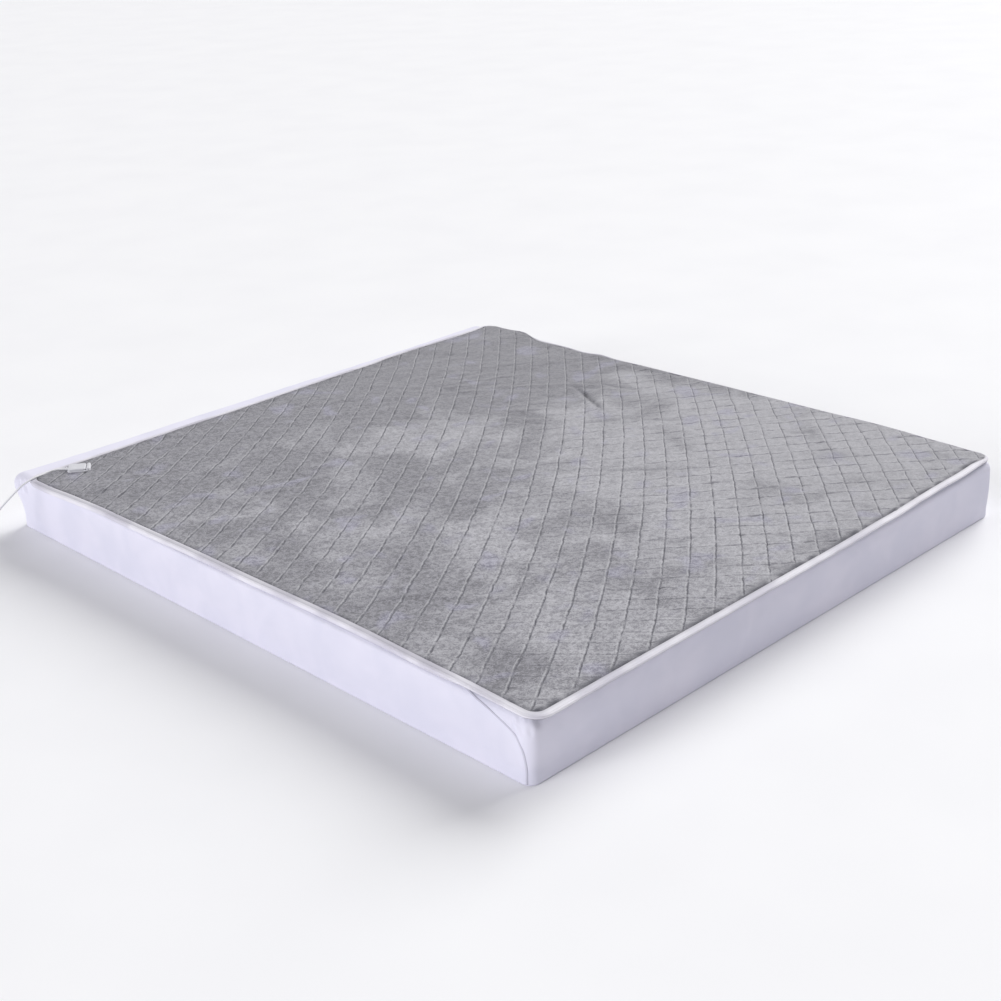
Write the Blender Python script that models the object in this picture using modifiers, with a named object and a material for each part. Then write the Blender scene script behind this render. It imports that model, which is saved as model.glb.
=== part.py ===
"""Electric heated blanket laid on a mattress, with its flat connector and the lead to the mains plug.

Metres, +Z up. +X is the mattress's right side and +Y its head end, seen from the foot. The origin
is on the surface that the mattress stands on, below the middle of the mattress and blanket.
"""

import math
from collections import namedtuple

import bmesh
import bpy
import numpy as np
from mathutils import Matrix, Vector

MM = 0.001
GAP = 0.3 * MM
SMOOTH_ANGLE = math.radians(35)

# Mattress in its fitted sheet.
MATTRESS_WIDTH = 1.800
MATTRESS_LENGTH = 2.000
MATTRESS_HEIGHT = 0.162
MATTRESS_CORNER = 26 * MM
MATTRESS_SHOULDER = 24 * MM
MATTRESS_FOOT_EDGE = 5 * MM
MATTRESS_MIDDLE_Y = 12.5 * MM

# Blanket: its plan before the edges wander, and its thickness.
BLANKET_WIDTH = 1.800
BLANKET_LENGTH = 1.960
BLANKET_MIDDLE_Y = -32.5 * MM
BLANKET_CORNER = 45 * MM
BLANKET_THICKNESS = 8 * MM
RIM_THICKNESS = 5 * MM
RIM_RAISE = 1.8 * MM
CELLS_ACROSS = 28
CELLS_ALONG = 30
CELLS_ROUND_CORNER = 5
EDGE_WANDER_REACH = 0.30

# White binding tape folded over the blanket's rim.
TAPE = 1.2 * MM
TAPE_GAP = 0.5 * MM
TAPE_TOP_WIDTH = 15 * MM
TAPE_UNDER_WIDTH = 14 * MM
TAPE_ROUND = 1.8 * MM
RIM_UNDER_TAPE = TAPE_TOP_WIDTH + 2 * MM

# How far the overhanging rim droops, at this distance past the mattress's flat top.
DROOP = 4 * MM
DROOP_DISTANCE = 49 * MM

# Connector on the blanket's head corner.
CONNECTOR_MIDDLE = (-0.780, 0.8685)
CONNECTOR_ANGLE = math.radians(-36)
CONNECTOR_LENGTH = 62 * MM
CONNECTOR_WIDTH = 48 * MM
BASE_HEIGHT = 4 * MM
HOUSING_HEIGHT = 5 * MM
HOUSING_INSET = 1 * MM
CONNECTOR_LEVEL_REACH = 0.075

# Lead.
CORD_DIAMETER = 5.5 * MM
CORD_POINT_SPACING = 12 * MM
CORD_CURVE_POINTS = 1200
EXIT_STRAIGHT = 12 * MM
RELIEF_LENGTH = 36 * MM
RELIEF_ROOT_RADIUS = 4.4 * MM
RELIEF_TIP_RADIUS = 3.2 * MM
RELIEF_POINT_SPACING = 4 * MM

# Spare lead, wound up and held by a tie on the floor beside the mattress.
COIL_MIDDLE = (-1.200, 0.982)
COIL_LOWER_TURNS = 4
COIL_UPPER_TURNS = 3
COIL_MIDDLE_RADIUS = 30.15 * MM
COIL_LIFT = 1.2 * MM
COIL_STEPS = 40
TIE_THICKNESS = 0.8 * MM
TIE_WIDTH = 9 * MM
TIE_INNER_SLACK = 0.7 * MM
TIE_ANGLE = math.radians(-20)

# Mains plug with two flat blades, lying beside the coil.
PLUG_LENGTH = 34 * MM
PLUG_WIDTH = 26 * MM
PLUG_HEIGHT = 17 * MM
PLUG_BACK_X = -1.137
PLUG_MIDDLE_Y = 1.0275
PLUG_RELIEF_LENGTH = 22 * MM
BLADE_LENGTH = 17 * MM
BLADE_HEIGHT = 6.3 * MM
BLADE_THICKNESS = 1.6 * MM
BLADE_SPACING = 12.7 * MM

# Wander of each edge: how far it lies outside the straight line, at points along it.
Wander = namedtuple("Wander", "along outward")
LEFT_EDGE = [
    Wander(-0.99, 6 * MM),
    Wander(-0.75, -1 * MM),
    Wander(-0.39, -8 * MM),
    Wander(0.06, -2 * MM),
    Wander(0.53, 5 * MM),
    Wander(0.87, 20 * MM),
]
RIGHT_EDGE = [
    Wander(-0.95, 8 * MM),
    Wander(-0.84, 14 * MM),
    Wander(-0.61, 27 * MM),
    Wander(-0.42, 17 * MM),
    Wander(-0.13, 12 * MM),
    Wander(0.20, 3 * MM),
    Wander(0.40, -10 * MM),
    Wander(0.46, -24 * MM),
    Wander(0.57, -13 * MM),
    Wander(0.67, -18 * MM),
    Wander(0.79, 12 * MM),
    Wander(0.91, 14 * MM),
]
FOOT_EDGE = [
    Wander(-0.84, -1 * MM),
    Wander(-0.47, -3 * MM),
    Wander(0.22, -6 * MM),
    Wander(0.70, -21 * MM),
    Wander(0.88, -29 * MM),
]
HEAD_EDGE = [
    Wander(-0.85, -22 * MM),
    Wander(-0.30, -12 * MM),
    Wander(0.25, 2 * MM),
    Wander(0.80, 8 * MM),
]

# Soft creases raised in the cloth, each from one end to the other.
Crease = namedtuple("Crease", "start_x start_y end_x end_y height half_width")
CREASES = [
    Crease(0.600, 0.250, 0.500, 0.065, 5.0 * MM, 45 * MM),
    Crease(0.610, 0.240, 0.760, 0.215, 3.0 * MM, 50 * MM),
    Crease(0.420, 0.940, 0.620, 0.900, 3.5 * MM, 45 * MM),
    Crease(0.700, 0.560, 0.890, 0.420, 4.0 * MM, 50 * MM),
    Crease(0.780, 0.800, 0.900, 0.790, 5.5 * MM, 50 * MM),
    Crease(-0.680, 0.780, -0.560, 0.700, 2.5 * MM, 50 * MM),
    Crease(-0.860, 0.720, -0.740, 0.640, 2.0 * MM, 50 * MM),
    Crease(0.100, 0.240, 0.360, 0.120, 2.0 * MM, 60 * MM),
    Crease(0.200, -0.930, 0.330, -1.000, 2.5 * MM, 50 * MM),
    Crease(-0.300, 0.560, -0.050, 0.470, 1.6 * MM, 80 * MM),
]

# The lead's way from the connector, over the rim and down to the coil, after its exit.
RoutePoint = namedtuple("RoutePoint", "x y z")
LEAD_ROUTE = [
    RoutePoint(-0.8310, 0.9050, 0.1748),
    RoutePoint(-0.8670, 0.9065, 0.1738),
    RoutePoint(-0.8990, 0.9000, 0.1748),
    RoutePoint(-0.9220, 0.8965, 0.1722),
    RoutePoint(-0.9430, 0.8985, 0.1635),
    RoutePoint(-0.9640, 0.9015, 0.1500),
    RoutePoint(-1.0030, 0.9090, 0.1200),
    RoutePoint(-1.0450, 0.9170, 0.0850),
    RoutePoint(-1.0900, 0.9240, 0.0490),
    RoutePoint(-1.1300, 0.9295, 0.0230),
    RoutePoint(-1.1700, 0.9340, 0.0113),
    RoutePoint(-1.2050, 0.9375, 0.0090),
]
TAIL_ROUTE = [
    RoutePoint(-1.2070, 1.0270, 0.0044),
    RoutePoint(-1.1950, 1.0276, 0.0047),
    RoutePoint(-1.1790, 1.0276, 0.0066),
    RoutePoint(-1.1596, 1.0275, 0.0085),
]

Finish = namedtuple("Finish", "colour roughness metallic")
FINISHES = {
    "sheet_cotton": Finish((0.74, 0.72, 0.80), 0.85, 0.0),
    "grey_fleece": Finish((0.35, 0.35, 0.37), 0.95, 0.0),
    "white_tape": Finish((0.86, 0.85, 0.90), 0.70, 0.0),
    "white_plastic": Finish((0.85, 0.85, 0.88), 0.40, 0.0),
    "pale_grey_plastic": Finish((0.62, 0.62, 0.66), 0.45, 0.0),
    "white_vinyl": Finish((0.85, 0.85, 0.86), 0.50, 0.0),
    "black_strap": Finish((0.03, 0.03, 0.03), 0.70, 0.0),
    "blade_brass": Finish((0.75, 0.70, 0.58), 0.30, 1.0),
}


def clear_scene():
    for obj in list(bpy.data.objects):
        bpy.data.objects.remove(obj, do_unlink=True)


def material(name):
    """The named finish, made once."""
    found = bpy.data.materials.get(name)
    if found:
        return found
    finish = FINISHES[name]
    made = bpy.data.materials.new(name)
    made.use_nodes = True
    shader = made.node_tree.nodes["Principled BSDF"]
    shader.inputs["Base Color"].default_value = (*finish.colour, 1.0)
    shader.inputs["Roughness"].default_value = finish.roughness
    shader.inputs["Metallic"].default_value = finish.metallic
    return made


def add_object(name, data, finish, parts):
    obj = bpy.data.objects.new(name, data)
    data.materials.append(material(finish))
    parts.objects.link(obj)
    return obj


def mesh_object(name, bm, finish, parts):
    """An object from bm, which is freed, with its round stretches shaded smooth."""
    mesh = bpy.data.meshes.new(name)
    bmesh.ops.recalc_face_normals(bm, faces=bm.faces)
    bm.to_mesh(mesh)
    bm.free()
    mesh.shade_smooth()
    mesh.set_sharp_from_angle(angle=SMOOTH_ANGLE)
    return add_object(name, mesh, finish, parts)


def ease(t):
    """0 below 0, 1 above 1, and a smooth rise between."""
    t = np.clip(t, 0.0, 1.0)
    return t * t * (3.0 - 2.0 * t)


def wander(rows, along):
    """How far outside its straight line an edge lies at the places along it, eased from row to row."""
    places = np.array([row.along for row in rows])
    values = np.array([row.outward for row in rows])
    along = np.clip(along, places[0], places[-1])
    after = np.clip(np.searchsorted(places, along), 1, len(rows) - 1)
    share = (along - places[after - 1]) / (places[after] - places[after - 1])
    return values[after - 1] + (values[after] - values[after - 1]) * ease(share)


def settled(x, y):
    """The plan place of a point of the straight-edged blanket, once its edges wander."""
    to_side = BLANKET_WIDTH / 2 - np.abs(x)
    to_end = BLANKET_LENGTH / 2 - np.abs(y - BLANKET_MIDDLE_Y)
    side = np.where(x < 0, -wander(LEFT_EDGE, y), wander(RIGHT_EDGE, y))
    end = np.where(y < BLANKET_MIDDLE_Y, -wander(FOOT_EDGE, x), wander(HEAD_EDGE, x))
    return (
        x + side * ease(1 - to_side / EDGE_WANDER_REACH),
        y + end * ease(1 - to_end / EDGE_WANDER_REACH),
    )


def crease_height(x, y):
    """Height of the cloth over the mattress from its creases, level round the connector."""
    height = np.zeros_like(x)
    for row in CREASES:
        run = np.array([row.end_x - row.start_x, row.end_y - row.start_y])
        share = ((x - row.start_x) * run[0] + (y - row.start_y) * run[1]) / (run @ run)
        share = np.clip(share, 0.0, 1.0)
        away = np.hypot(x - row.start_x - share * run[0], y - row.start_y - share * run[1])
        height = np.maximum(height, row.height * np.exp(-((away / row.half_width) ** 2)))
    from_connector = np.hypot(x - CONNECTOR_MIDDLE[0], y - CONNECTOR_MIDDLE[1])
    return height * ease(from_connector / CONNECTOR_LEVEL_REACH - 1)


def droop(x, y):
    """How far the cloth sinks past the mattress's flat top, growing as the square of the distance."""
    flat_x = MATTRESS_WIDTH / 2 - MATTRESS_SHOULDER
    flat_y = MATTRESS_LENGTH / 2 - MATTRESS_SHOULDER
    past_x = np.maximum(np.abs(x) - flat_x, 0)
    past_y = np.maximum(np.abs(y - MATTRESS_MIDDLE_Y) - flat_y, 0)
    return DROOP * (past_x**2 + past_y**2) / DROOP_DISTANCE**2


def rim_ring(inset):
    """Plan points of a line that runs inset from the blanket's edge, anticlockwise from the foot."""
    radius = BLANKET_CORNER - inset
    half_x = BLANKET_WIDTH / 2 - BLANKET_CORNER
    half_y = BLANKET_LENGTH / 2 - BLANKET_CORNER
    arc = np.linspace(0, math.pi / 2, CELLS_ROUND_CORNER + 1)[1:-1]
    across = np.linspace(-half_x, half_x, CELLS_ACROSS + 1)
    along = np.linspace(-half_y, half_y, CELLS_ALONG + 1)
    end_y = np.full_like(across, half_y + radius)
    side_x = np.full_like(along, half_x + radius)
    sides = [(across, -end_y), (side_x, along), (across[::-1], end_y), (-side_x, along[::-1])]
    corners = [(half_x, -half_y), (half_x, half_y), (-half_x, half_y), (-half_x, -half_y)]
    pieces = []
    for number, (centre_x, centre_y) in enumerate(corners):
        turn = arc + (number - 1) * math.pi / 2
        pieces.append(sides[number])
        pieces.append((centre_x + radius * np.cos(turn), centre_y + radius * np.sin(turn)))
    x = np.concatenate([piece[0] for piece in pieces])
    y = np.concatenate([piece[1] for piece in pieces]) + BLANKET_MIDDLE_Y
    return x, y


def to_edge(x, y):
    """Distance of a point of the straight-edged blanket from its edge, corners left square."""
    to_side = BLANKET_WIDTH / 2 - np.abs(x)
    to_end = BLANKET_LENGTH / 2 - np.abs(y - BLANKET_MIDDLE_Y)
    return np.minimum(to_side, to_end)


def cloth_points(x, y, inset, level):
    """Points of the blanket: level 0 is its underside and 1 its top, at this inset from the edge."""
    inward = ease((inset - RIM_UNDER_TAPE) / (BLANKET_CORNER - RIM_UNDER_TAPE))
    lift = RIM_RAISE * (1 - inward)
    thickness = RIM_THICKNESS + (BLANKET_THICKNESS - RIM_THICKNESS) * inward
    x, y = settled(x, y)
    under = MATTRESS_HEIGHT + GAP + lift + crease_height(x, y) - droop(x, y)
    return np.stack([x, y, under + level * thickness], axis=-1)


def add_strip(bm, rings, closed_across):
    """Faces between rings of points, each ring closed on itself, and back to the first if asked."""
    rows = [[bm.verts.new(point) for point in ring] for ring in rings]
    count = len(rows[0])
    pairs = list(zip(rows, rows[1:]))
    if closed_across:
        pairs.append((rows[-1], rows[0]))
    for near, far in pairs:
        for i in range(count):
            j = (i + 1) % count
            bm.faces.new((near[i], near[j], far[j], far[i]))


def add_grid(bm, points):
    rows = [[bm.verts.new(point) for point in row] for row in points]
    for near, far in zip(rows, rows[1:]):
        for i in range(len(near) - 1):
            bm.faces.new((near[i], near[i + 1], far[i + 1], far[i]))


def make_mattress(parts):
    """A rounded slab: corner posts first, then the soft shoulder, then the lower edge."""
    bm = bmesh.new()
    bmesh.ops.create_cube(bm, size=1.0)
    size = Vector((MATTRESS_WIDTH, MATTRESS_LENGTH, MATTRESS_HEIGHT))
    bmesh.ops.scale(bm, vec=size, verts=bm.verts)
    bmesh.ops.translate(bm, vec=(0, MATTRESS_MIDDLE_Y, MATTRESS_HEIGHT / 2), verts=bm.verts)
    upright = [e for e in bm.edges if abs(e.verts[0].co.z - e.verts[1].co.z) > MATTRESS_HEIGHT / 2]
    bmesh.ops.bevel(
        bm, geom=upright, offset=MATTRESS_CORNER, segments=6, profile=0.5, affect="EDGES"
    )
    for height, radius, segments in (
        (MATTRESS_HEIGHT, MATTRESS_SHOULDER, 5),
        (0.0, MATTRESS_FOOT_EDGE, 3),
    ):
        rim = [e for e in bm.edges if all(abs(v.co.z - height) < MM for v in e.verts)]
        bmesh.ops.bevel(
            bm, geom=rim, offset=radius, segments=segments, profile=0.5, affect="EDGES"
        )
    mesh_object("mattress", bm, "sheet_cotton", parts)


def make_fleece_panel(parts):
    """The heated cloth: a grid above and below, and a rim that rounds the corners."""
    bm = bmesh.new()
    edge = TAPE + TAPE_GAP
    rim = [
        (BLANKET_CORNER, 1),
        ((BLANKET_CORNER + RIM_UNDER_TAPE) / 2, 1),
        (RIM_UNDER_TAPE, 1),
        (edge, 1),
        (edge, 0),
        (RIM_UNDER_TAPE, 0),
        (BLANKET_CORNER, 0),
    ]
    rings = [cloth_points(*rim_ring(inset), inset, level) for inset, level in rim]
    add_strip(bm, rings, closed_across=False)
    half_x = BLANKET_WIDTH / 2 - BLANKET_CORNER
    half_y = BLANKET_LENGTH / 2 - BLANKET_CORNER
    x, y = np.meshgrid(
        np.linspace(-half_x, half_x, CELLS_ACROSS + 1),
        np.linspace(-half_y, half_y, CELLS_ALONG + 1) + BLANKET_MIDDLE_Y,
    )
    for level in (0, 1):
        add_grid(bm, cloth_points(x, y, to_edge(x, y), level))
    bmesh.ops.remove_doubles(bm, verts=bm.verts, dist=0.01 * MM)
    mesh_object("fleece_panel", bm, "grey_fleece", parts)


def tape_point_ring(inset, height):
    """One line of the tape's section, height above the panel's underside at the rim."""
    points = cloth_points(*rim_ring(inset), edge_inset(inset), 0)
    points[:, 2] += height
    return points


def edge_inset(inset):
    """The tape's own lines all stand on the level part of the rim."""
    return min(inset, RIM_UNDER_TAPE)


def make_edge_binding(parts):
    """The tape's C-shaped section carried round the rim: outside first, then back inside."""
    top = RIM_THICKNESS + TAPE_GAP
    section = [
        (TAPE_TOP_WIDTH, top + TAPE),
        (TAPE_ROUND, top + TAPE),
        (0, top + TAPE - TAPE_ROUND),
        (0, TAPE_ROUND - TAPE - TAPE_GAP),
        (TAPE_ROUND, -TAPE_GAP - TAPE),
        (TAPE_UNDER_WIDTH, -TAPE_GAP - TAPE),
        (TAPE_UNDER_WIDTH, -TAPE_GAP),
        (TAPE, -TAPE_GAP),
        (TAPE, top),
        (TAPE_TOP_WIDTH, top),
    ]
    bm = bmesh.new()
    rings = [tape_point_ring(inset, height) for inset, height in section]
    add_strip(bm, rings, closed_across=True)
    bmesh.ops.remove_doubles(bm, verts=bm.verts, dist=0.01 * MM)
    mesh_object("edge_binding", bm, "white_tape", parts)


def rounded_box(name, size, place, turn, edge, segments, finish, parts):
    """A box with all its edges rounded, turned about the upright and set with its middle at place."""
    bm = bmesh.new()
    bmesh.ops.create_cube(bm, size=1.0)
    bmesh.ops.scale(bm, vec=Vector(size), verts=bm.verts)
    if edge:
        bmesh.ops.bevel(
            bm, geom=bm.edges[:], offset=edge, segments=segments, profile=0.5, affect="EDGES"
        )
    obj = mesh_object(name, bm, finish, parts)
    obj.matrix_world = Matrix.Translation(Vector(place)) @ Matrix.Rotation(turn, 4, "Z")


def connector_floor():
    return MATTRESS_HEIGHT + GAP + BLANKET_THICKNESS + GAP


def make_connector(parts):
    """Lower shell fixed to the blanket, and the lead's housing on it."""
    floor = connector_floor()
    x, y = CONNECTOR_MIDDLE
    rounded_box(
        "connector_base",
        (CONNECTOR_LENGTH, CONNECTOR_WIDTH, BASE_HEIGHT),
        (x, y, floor + BASE_HEIGHT / 2),
        CONNECTOR_ANGLE,
        1.2 * MM,
        2,
        "white_plastic",
        parts,
    )
    rounded_box(
        "connector_housing",
        (CONNECTOR_LENGTH - 2 * HOUSING_INSET, CONNECTOR_WIDTH - 2 * HOUSING_INSET, HOUSING_HEIGHT),
        (x, y, floor + BASE_HEIGHT + GAP + HOUSING_HEIGHT / 2),
        CONNECTOR_ANGLE,
        2.0 * MM,
        3,
        "pale_grey_plastic",
        parts,
    )


def lead_exit():
    """Where the lead leaves the connector's end, and the way it points there."""
    way = np.array([-math.cos(CONNECTOR_ANGLE), -math.sin(CONNECTOR_ANGLE), 0.0])
    middle = np.array([*CONNECTOR_MIDDLE, connector_floor() + BASE_HEIGHT + GAP])
    return middle + way * CONNECTOR_LENGTH / 2, way


def spline(points):
    """A natural cubic spline through the points, by chord length, as many close points."""
    points = np.array(points, float)
    knots = np.concatenate([[0], np.cumsum(np.linalg.norm(np.diff(points, axis=0), axis=1))])
    steps = np.diff(knots)
    count = len(points)
    system = np.eye(count)
    bends = np.zeros_like(points)
    for i in range(1, count - 1):
        system[i, i - 1 : i + 2] = steps[i - 1], 2 * (steps[i - 1] + steps[i]), steps[i]
        slope_change = (points[i + 1] - points[i]) / steps[i]
        slope_change -= (points[i] - points[i - 1]) / steps[i - 1]
        bends[i] = 6 * slope_change
    bends = np.linalg.solve(system, bends)
    at = np.linspace(0, knots[-1], CORD_CURVE_POINTS)
    i = np.clip(np.searchsorted(knots, at) - 1, 0, count - 2)
    left = ((knots[i + 1] - at) / steps[i])[:, None]
    right = 1 - left
    square = steps[i][:, None] ** 2 / 6
    curve = left * points[i] + right * points[i + 1]
    curve += square * ((left**3 - left) * bends[i] + (right**3 - right) * bends[i + 1])
    return curve


def stretch(curve, start, end, spacing):
    """Even points of the curve between two lengths along it; an end of None is the curve's own."""
    run = np.concatenate([[0], np.cumsum(np.linalg.norm(np.diff(curve, axis=0), axis=1))])
    end = run[-1] if end is None else end
    at = np.linspace(start, end, max(2, round((end - start) / spacing) + 1))
    return np.stack([np.interp(at, run, curve[:, axis]) for axis in range(3)], axis=-1)


def tube(name, points, radii, finish, parts):
    """A round tube along the points, with a radius at each."""
    data = bpy.data.curves.new(name, "CURVE")
    data.dimensions = "3D"
    data.fill_mode = "FULL"
    data.bevel_depth = 1.0
    data.bevel_resolution = 2
    data.use_fill_caps = True
    line = data.splines.new("POLY")
    line.points.add(len(points) - 1)
    for point, place, radius in zip(line.points, points, radii):
        point.co = (*place, 1.0)
        point.radius = radius
    add_object(name, data, finish, parts)


def make_lead(parts):
    """The tapered strain relief on the connector, then the lead down to the coil."""
    start, way = lead_exit()
    route = [start, start + way * EXIT_STRAIGHT, *LEAD_ROUTE]
    curve = spline(route)
    relief = stretch(curve, GAP, RELIEF_LENGTH, RELIEF_POINT_SPACING)
    tube(
        "strain_relief",
        relief,
        np.linspace(RELIEF_ROOT_RADIUS, RELIEF_TIP_RADIUS, len(relief)),
        "white_vinyl",
        parts,
    )
    lead_from = RELIEF_LENGTH + GAP
    short_start = stretch(curve, lead_from, lead_from + RELIEF_POINT_SPACING, CORD_DIAMETER / 2)
    rest = stretch(curve, lead_from + CORD_POINT_SPACING, None, CORD_POINT_SPACING)
    lead = np.vstack([short_start, rest])
    tube("cord_tube", lead, np.full(len(lead), CORD_DIAMETER / 2), "white_vinyl", parts)


def coil_section():
    """Half-widths and height of the wound turns: the upper layer lies in the lower one's furrows."""
    lower = COIL_LOWER_TURNS * CORD_DIAMETER / 2
    upper = COIL_UPPER_TURNS * CORD_DIAMETER / 2
    height = CORD_DIAMETER * (1 + math.sin(math.radians(60)))
    return lower, upper, height


def make_coil(parts):
    """The wound turns as one ring, its section run down the outside and back up the inside."""
    lower, upper, height = coil_section()
    waist = CORD_DIAMETER * 0.75
    corner = CORD_DIAMETER * 0.2
    section = [
        (upper, height),
        (lower, waist),
        (lower, corner),
        (lower - corner, 0),
        (corner - lower, 0),
        (-lower, corner),
        (-lower, waist),
        (-upper, height),
    ]
    bm = bmesh.new()
    ring = [bm.verts.new((COIL_MIDDLE_RADIUS + out, 0, up)) for out, up in section]
    for a, b in zip(ring, ring[1:] + ring[:1]):
        bm.edges.new((a, b))
    mesh = bpy.data.meshes.new("cord_coil")
    bm.to_mesh(mesh)
    bm.free()
    coil = add_object("cord_coil", mesh, "white_vinyl", parts)
    coil.location = (*COIL_MIDDLE, COIL_LIFT)
    screw = coil.modifiers.new("turn", "SCREW")
    screw.axis = "Z"
    screw.angle = math.tau
    screw.steps = COIL_STEPS
    screw.render_steps = COIL_STEPS
    screw.use_merge_vertices = True
    screw.merge_threshold = 0.00001
    screw.use_smooth_shade = True


def make_tie(parts):
    """A flat strap once round the coil's section, slacker inside, where the turns curve into it."""
    lower, upper, height = coil_section()
    out = GAP + TIE_THICKNESS / 2
    inner = out + TIE_INNER_SLACK
    shoulder = height * 0.45
    loop = [
        (-lower - inner, out),
        (-lower - inner, shoulder),
        (-upper - inner, height + out),
        (upper + out, height + out),
        (lower + out, shoulder),
        (lower + out, out),
        (lower, -out),
        (-lower, -out),
    ]
    data = bpy.data.curves.new("coil_tie", "CURVE")
    data.dimensions = "3D"
    data.twist_mode = "Z_UP"
    data.fill_mode = "FULL"
    data.extrude = TIE_WIDTH / 2 - TIE_THICKNESS / 2
    data.bevel_depth = TIE_THICKNESS / 2
    data.bevel_resolution = 0
    line = data.splines.new("POLY")
    line.points.add(len(loop) - 1)
    for point, (x, y) in zip(line.points, loop):
        point.co = (x, y, 0.0, 1.0)
    line.use_cyclic_u = True
    tie = add_object("coil_tie", data, "black_strap", parts)
    outward = Vector((math.cos(TIE_ANGLE), math.sin(TIE_ANGLE), 0))
    upward = Vector((0, 0, 1))
    place = Vector((*COIL_MIDDLE, COIL_LIFT)) + outward * COIL_MIDDLE_RADIUS
    turned = Matrix((outward, upward, outward.cross(upward))).transposed()
    tie.matrix_world = Matrix.Translation(place) @ turned.to_4x4()


def make_plug(parts):
    """Tail of the lead, its relief, the plug's body and the two blades, in a row along +X."""
    tail = stretch(spline(TAIL_ROUTE), 0, None, RELIEF_POINT_SPACING)
    tube("cord_tail", tail, np.full(len(tail), CORD_DIAMETER / 2), "white_vinyl", parts)
    height = PLUG_HEIGHT / 2
    relief_from = PLUG_BACK_X - PLUG_RELIEF_LENGTH
    relief = np.array(
        [(x, PLUG_MIDDLE_Y, height) for x in np.linspace(relief_from, PLUG_BACK_X - GAP, 4)]
    )
    tube(
        "plug_relief",
        relief,
        np.linspace(RELIEF_TIP_RADIUS, RELIEF_ROOT_RADIUS, len(relief)),
        "white_vinyl",
        parts,
    )
    rounded_box(
        "plug_body",
        (PLUG_LENGTH, PLUG_WIDTH, PLUG_HEIGHT),
        (PLUG_BACK_X + PLUG_LENGTH / 2, PLUG_MIDDLE_Y, height),
        0.0,
        3.5 * MM,
        3,
        "white_plastic",
        parts,
    )
    blade_x = PLUG_BACK_X + PLUG_LENGTH + GAP + BLADE_LENGTH / 2
    for number, side in ((1, -0.5), (2, 0.5)):
        rounded_box(
            f"plug_blade_{number}",
            (BLADE_LENGTH, BLADE_THICKNESS, BLADE_HEIGHT),
            (blade_x, PLUG_MIDDLE_Y + side * BLADE_SPACING, height),
            0.0,
            0.4 * MM,
            1,
            "blade_brass",
            parts,
        )


def main():
    clear_scene()
    parts = bpy.data.collections.new("heated_blanket_on_mattress")
    bpy.context.scene.collection.children.link(parts)
    make_mattress(parts)
    make_fleece_panel(parts)
    make_edge_binding(parts)
    make_connector(parts)
    make_lead(parts)
    make_coil(parts)
    make_tie(parts)
    make_plug(parts)


main()
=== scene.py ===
"""Electric heated blanket on a mattress: fleece, binding, sheet, connector, lead, plug, light and camera.

Metres, +Z up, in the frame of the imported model: +X is the right side and +Y the head end. Lengths in
the tables are millimetres where a name ends in _mm.
"""

import logging
import math
from collections.abc import Callable, Sequence
from dataclasses import dataclass, field
from enum import Enum
from functools import partial
from typing import Any

import bmesh
import bpy
import numpy as np
from mathutils import Matrix, Vector
from mathutils.geometry import delaunay_2d_cdt


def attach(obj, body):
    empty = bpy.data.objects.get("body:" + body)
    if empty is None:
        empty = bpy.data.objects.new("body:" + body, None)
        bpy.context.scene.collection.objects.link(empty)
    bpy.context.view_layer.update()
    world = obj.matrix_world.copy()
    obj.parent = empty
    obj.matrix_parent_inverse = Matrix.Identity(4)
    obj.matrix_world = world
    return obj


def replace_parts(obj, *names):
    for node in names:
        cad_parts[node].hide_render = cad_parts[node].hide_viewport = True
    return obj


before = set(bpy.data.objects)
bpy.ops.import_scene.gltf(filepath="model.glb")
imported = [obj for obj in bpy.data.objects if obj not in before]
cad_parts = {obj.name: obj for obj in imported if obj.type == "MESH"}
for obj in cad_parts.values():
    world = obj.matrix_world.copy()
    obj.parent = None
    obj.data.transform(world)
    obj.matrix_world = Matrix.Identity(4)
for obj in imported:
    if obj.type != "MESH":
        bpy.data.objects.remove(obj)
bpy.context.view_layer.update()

Array = np.ndarray
Material = bpy.types.Material
Object = bpy.types.Object
MM = 0.001
BODY = "root"
LOG = logging.getLogger("heated_blanket")


# --- Curves and fields worked out on whole arrays ---


def ease(share: Array) -> Array:
    """Rise smoothly from 0 to 1.

    Args:
        share: Places along the rise, cut off below 0 and above 1.

    Returns:
        Three times the square less twice the cube of each share.
    """
    share = np.clip(share, 0.0, 1.0)
    return share * share * (3.0 - 2.0 * share)


def bell(distance: Array, half_width: float) -> Array:
    """Fall off like a bell.

    Args:
        distance: Distance from the middle.
        half_width: Distance at which the height has fallen to 1/e.

    Returns:
        e to the power of minus the squared ratio of distance to half_width.
    """
    return np.exp(-((distance / half_width) ** 2))


def waves(x: Array, y: Array, size: float, seed: int) -> Array:
    """Uneven soft hills, the same on every run.

    The sum of fourteen plane waves of random direction and phase, each about size long, divided so
    that the spread is about 1.

    Args:
        x: First coordinate.
        y: Second coordinate.
        size: Typical distance from hill to hill.
        seed: Picks the pattern.

    Returns:
        Height at each place.
    """
    count = 14
    random = np.random.default_rng(seed)
    turn = random.uniform(0, math.tau, count)
    pace = math.tau / size * random.uniform(0.6, 1.5, count)
    phase = random.uniform(0, math.tau, count)
    rise = np.multiply.outer(x, pace * np.cos(turn)) + np.multiply.outer(y, pace * np.sin(turn))
    return np.cos(rise + phase).sum(axis=-1) / math.sqrt(count / 2)


def unit(vectors: Array) -> Array:
    """Each vector at length 1."""
    return vectors / np.linalg.norm(vectors, axis=-1, keepdims=True)


def run_length(points: Array) -> Array:
    """Length along a line of points, from its start to each point."""
    steps = np.linalg.norm(np.diff(points, axis=0), axis=1)
    return np.concatenate([[0.0], np.cumsum(steps)])


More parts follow.
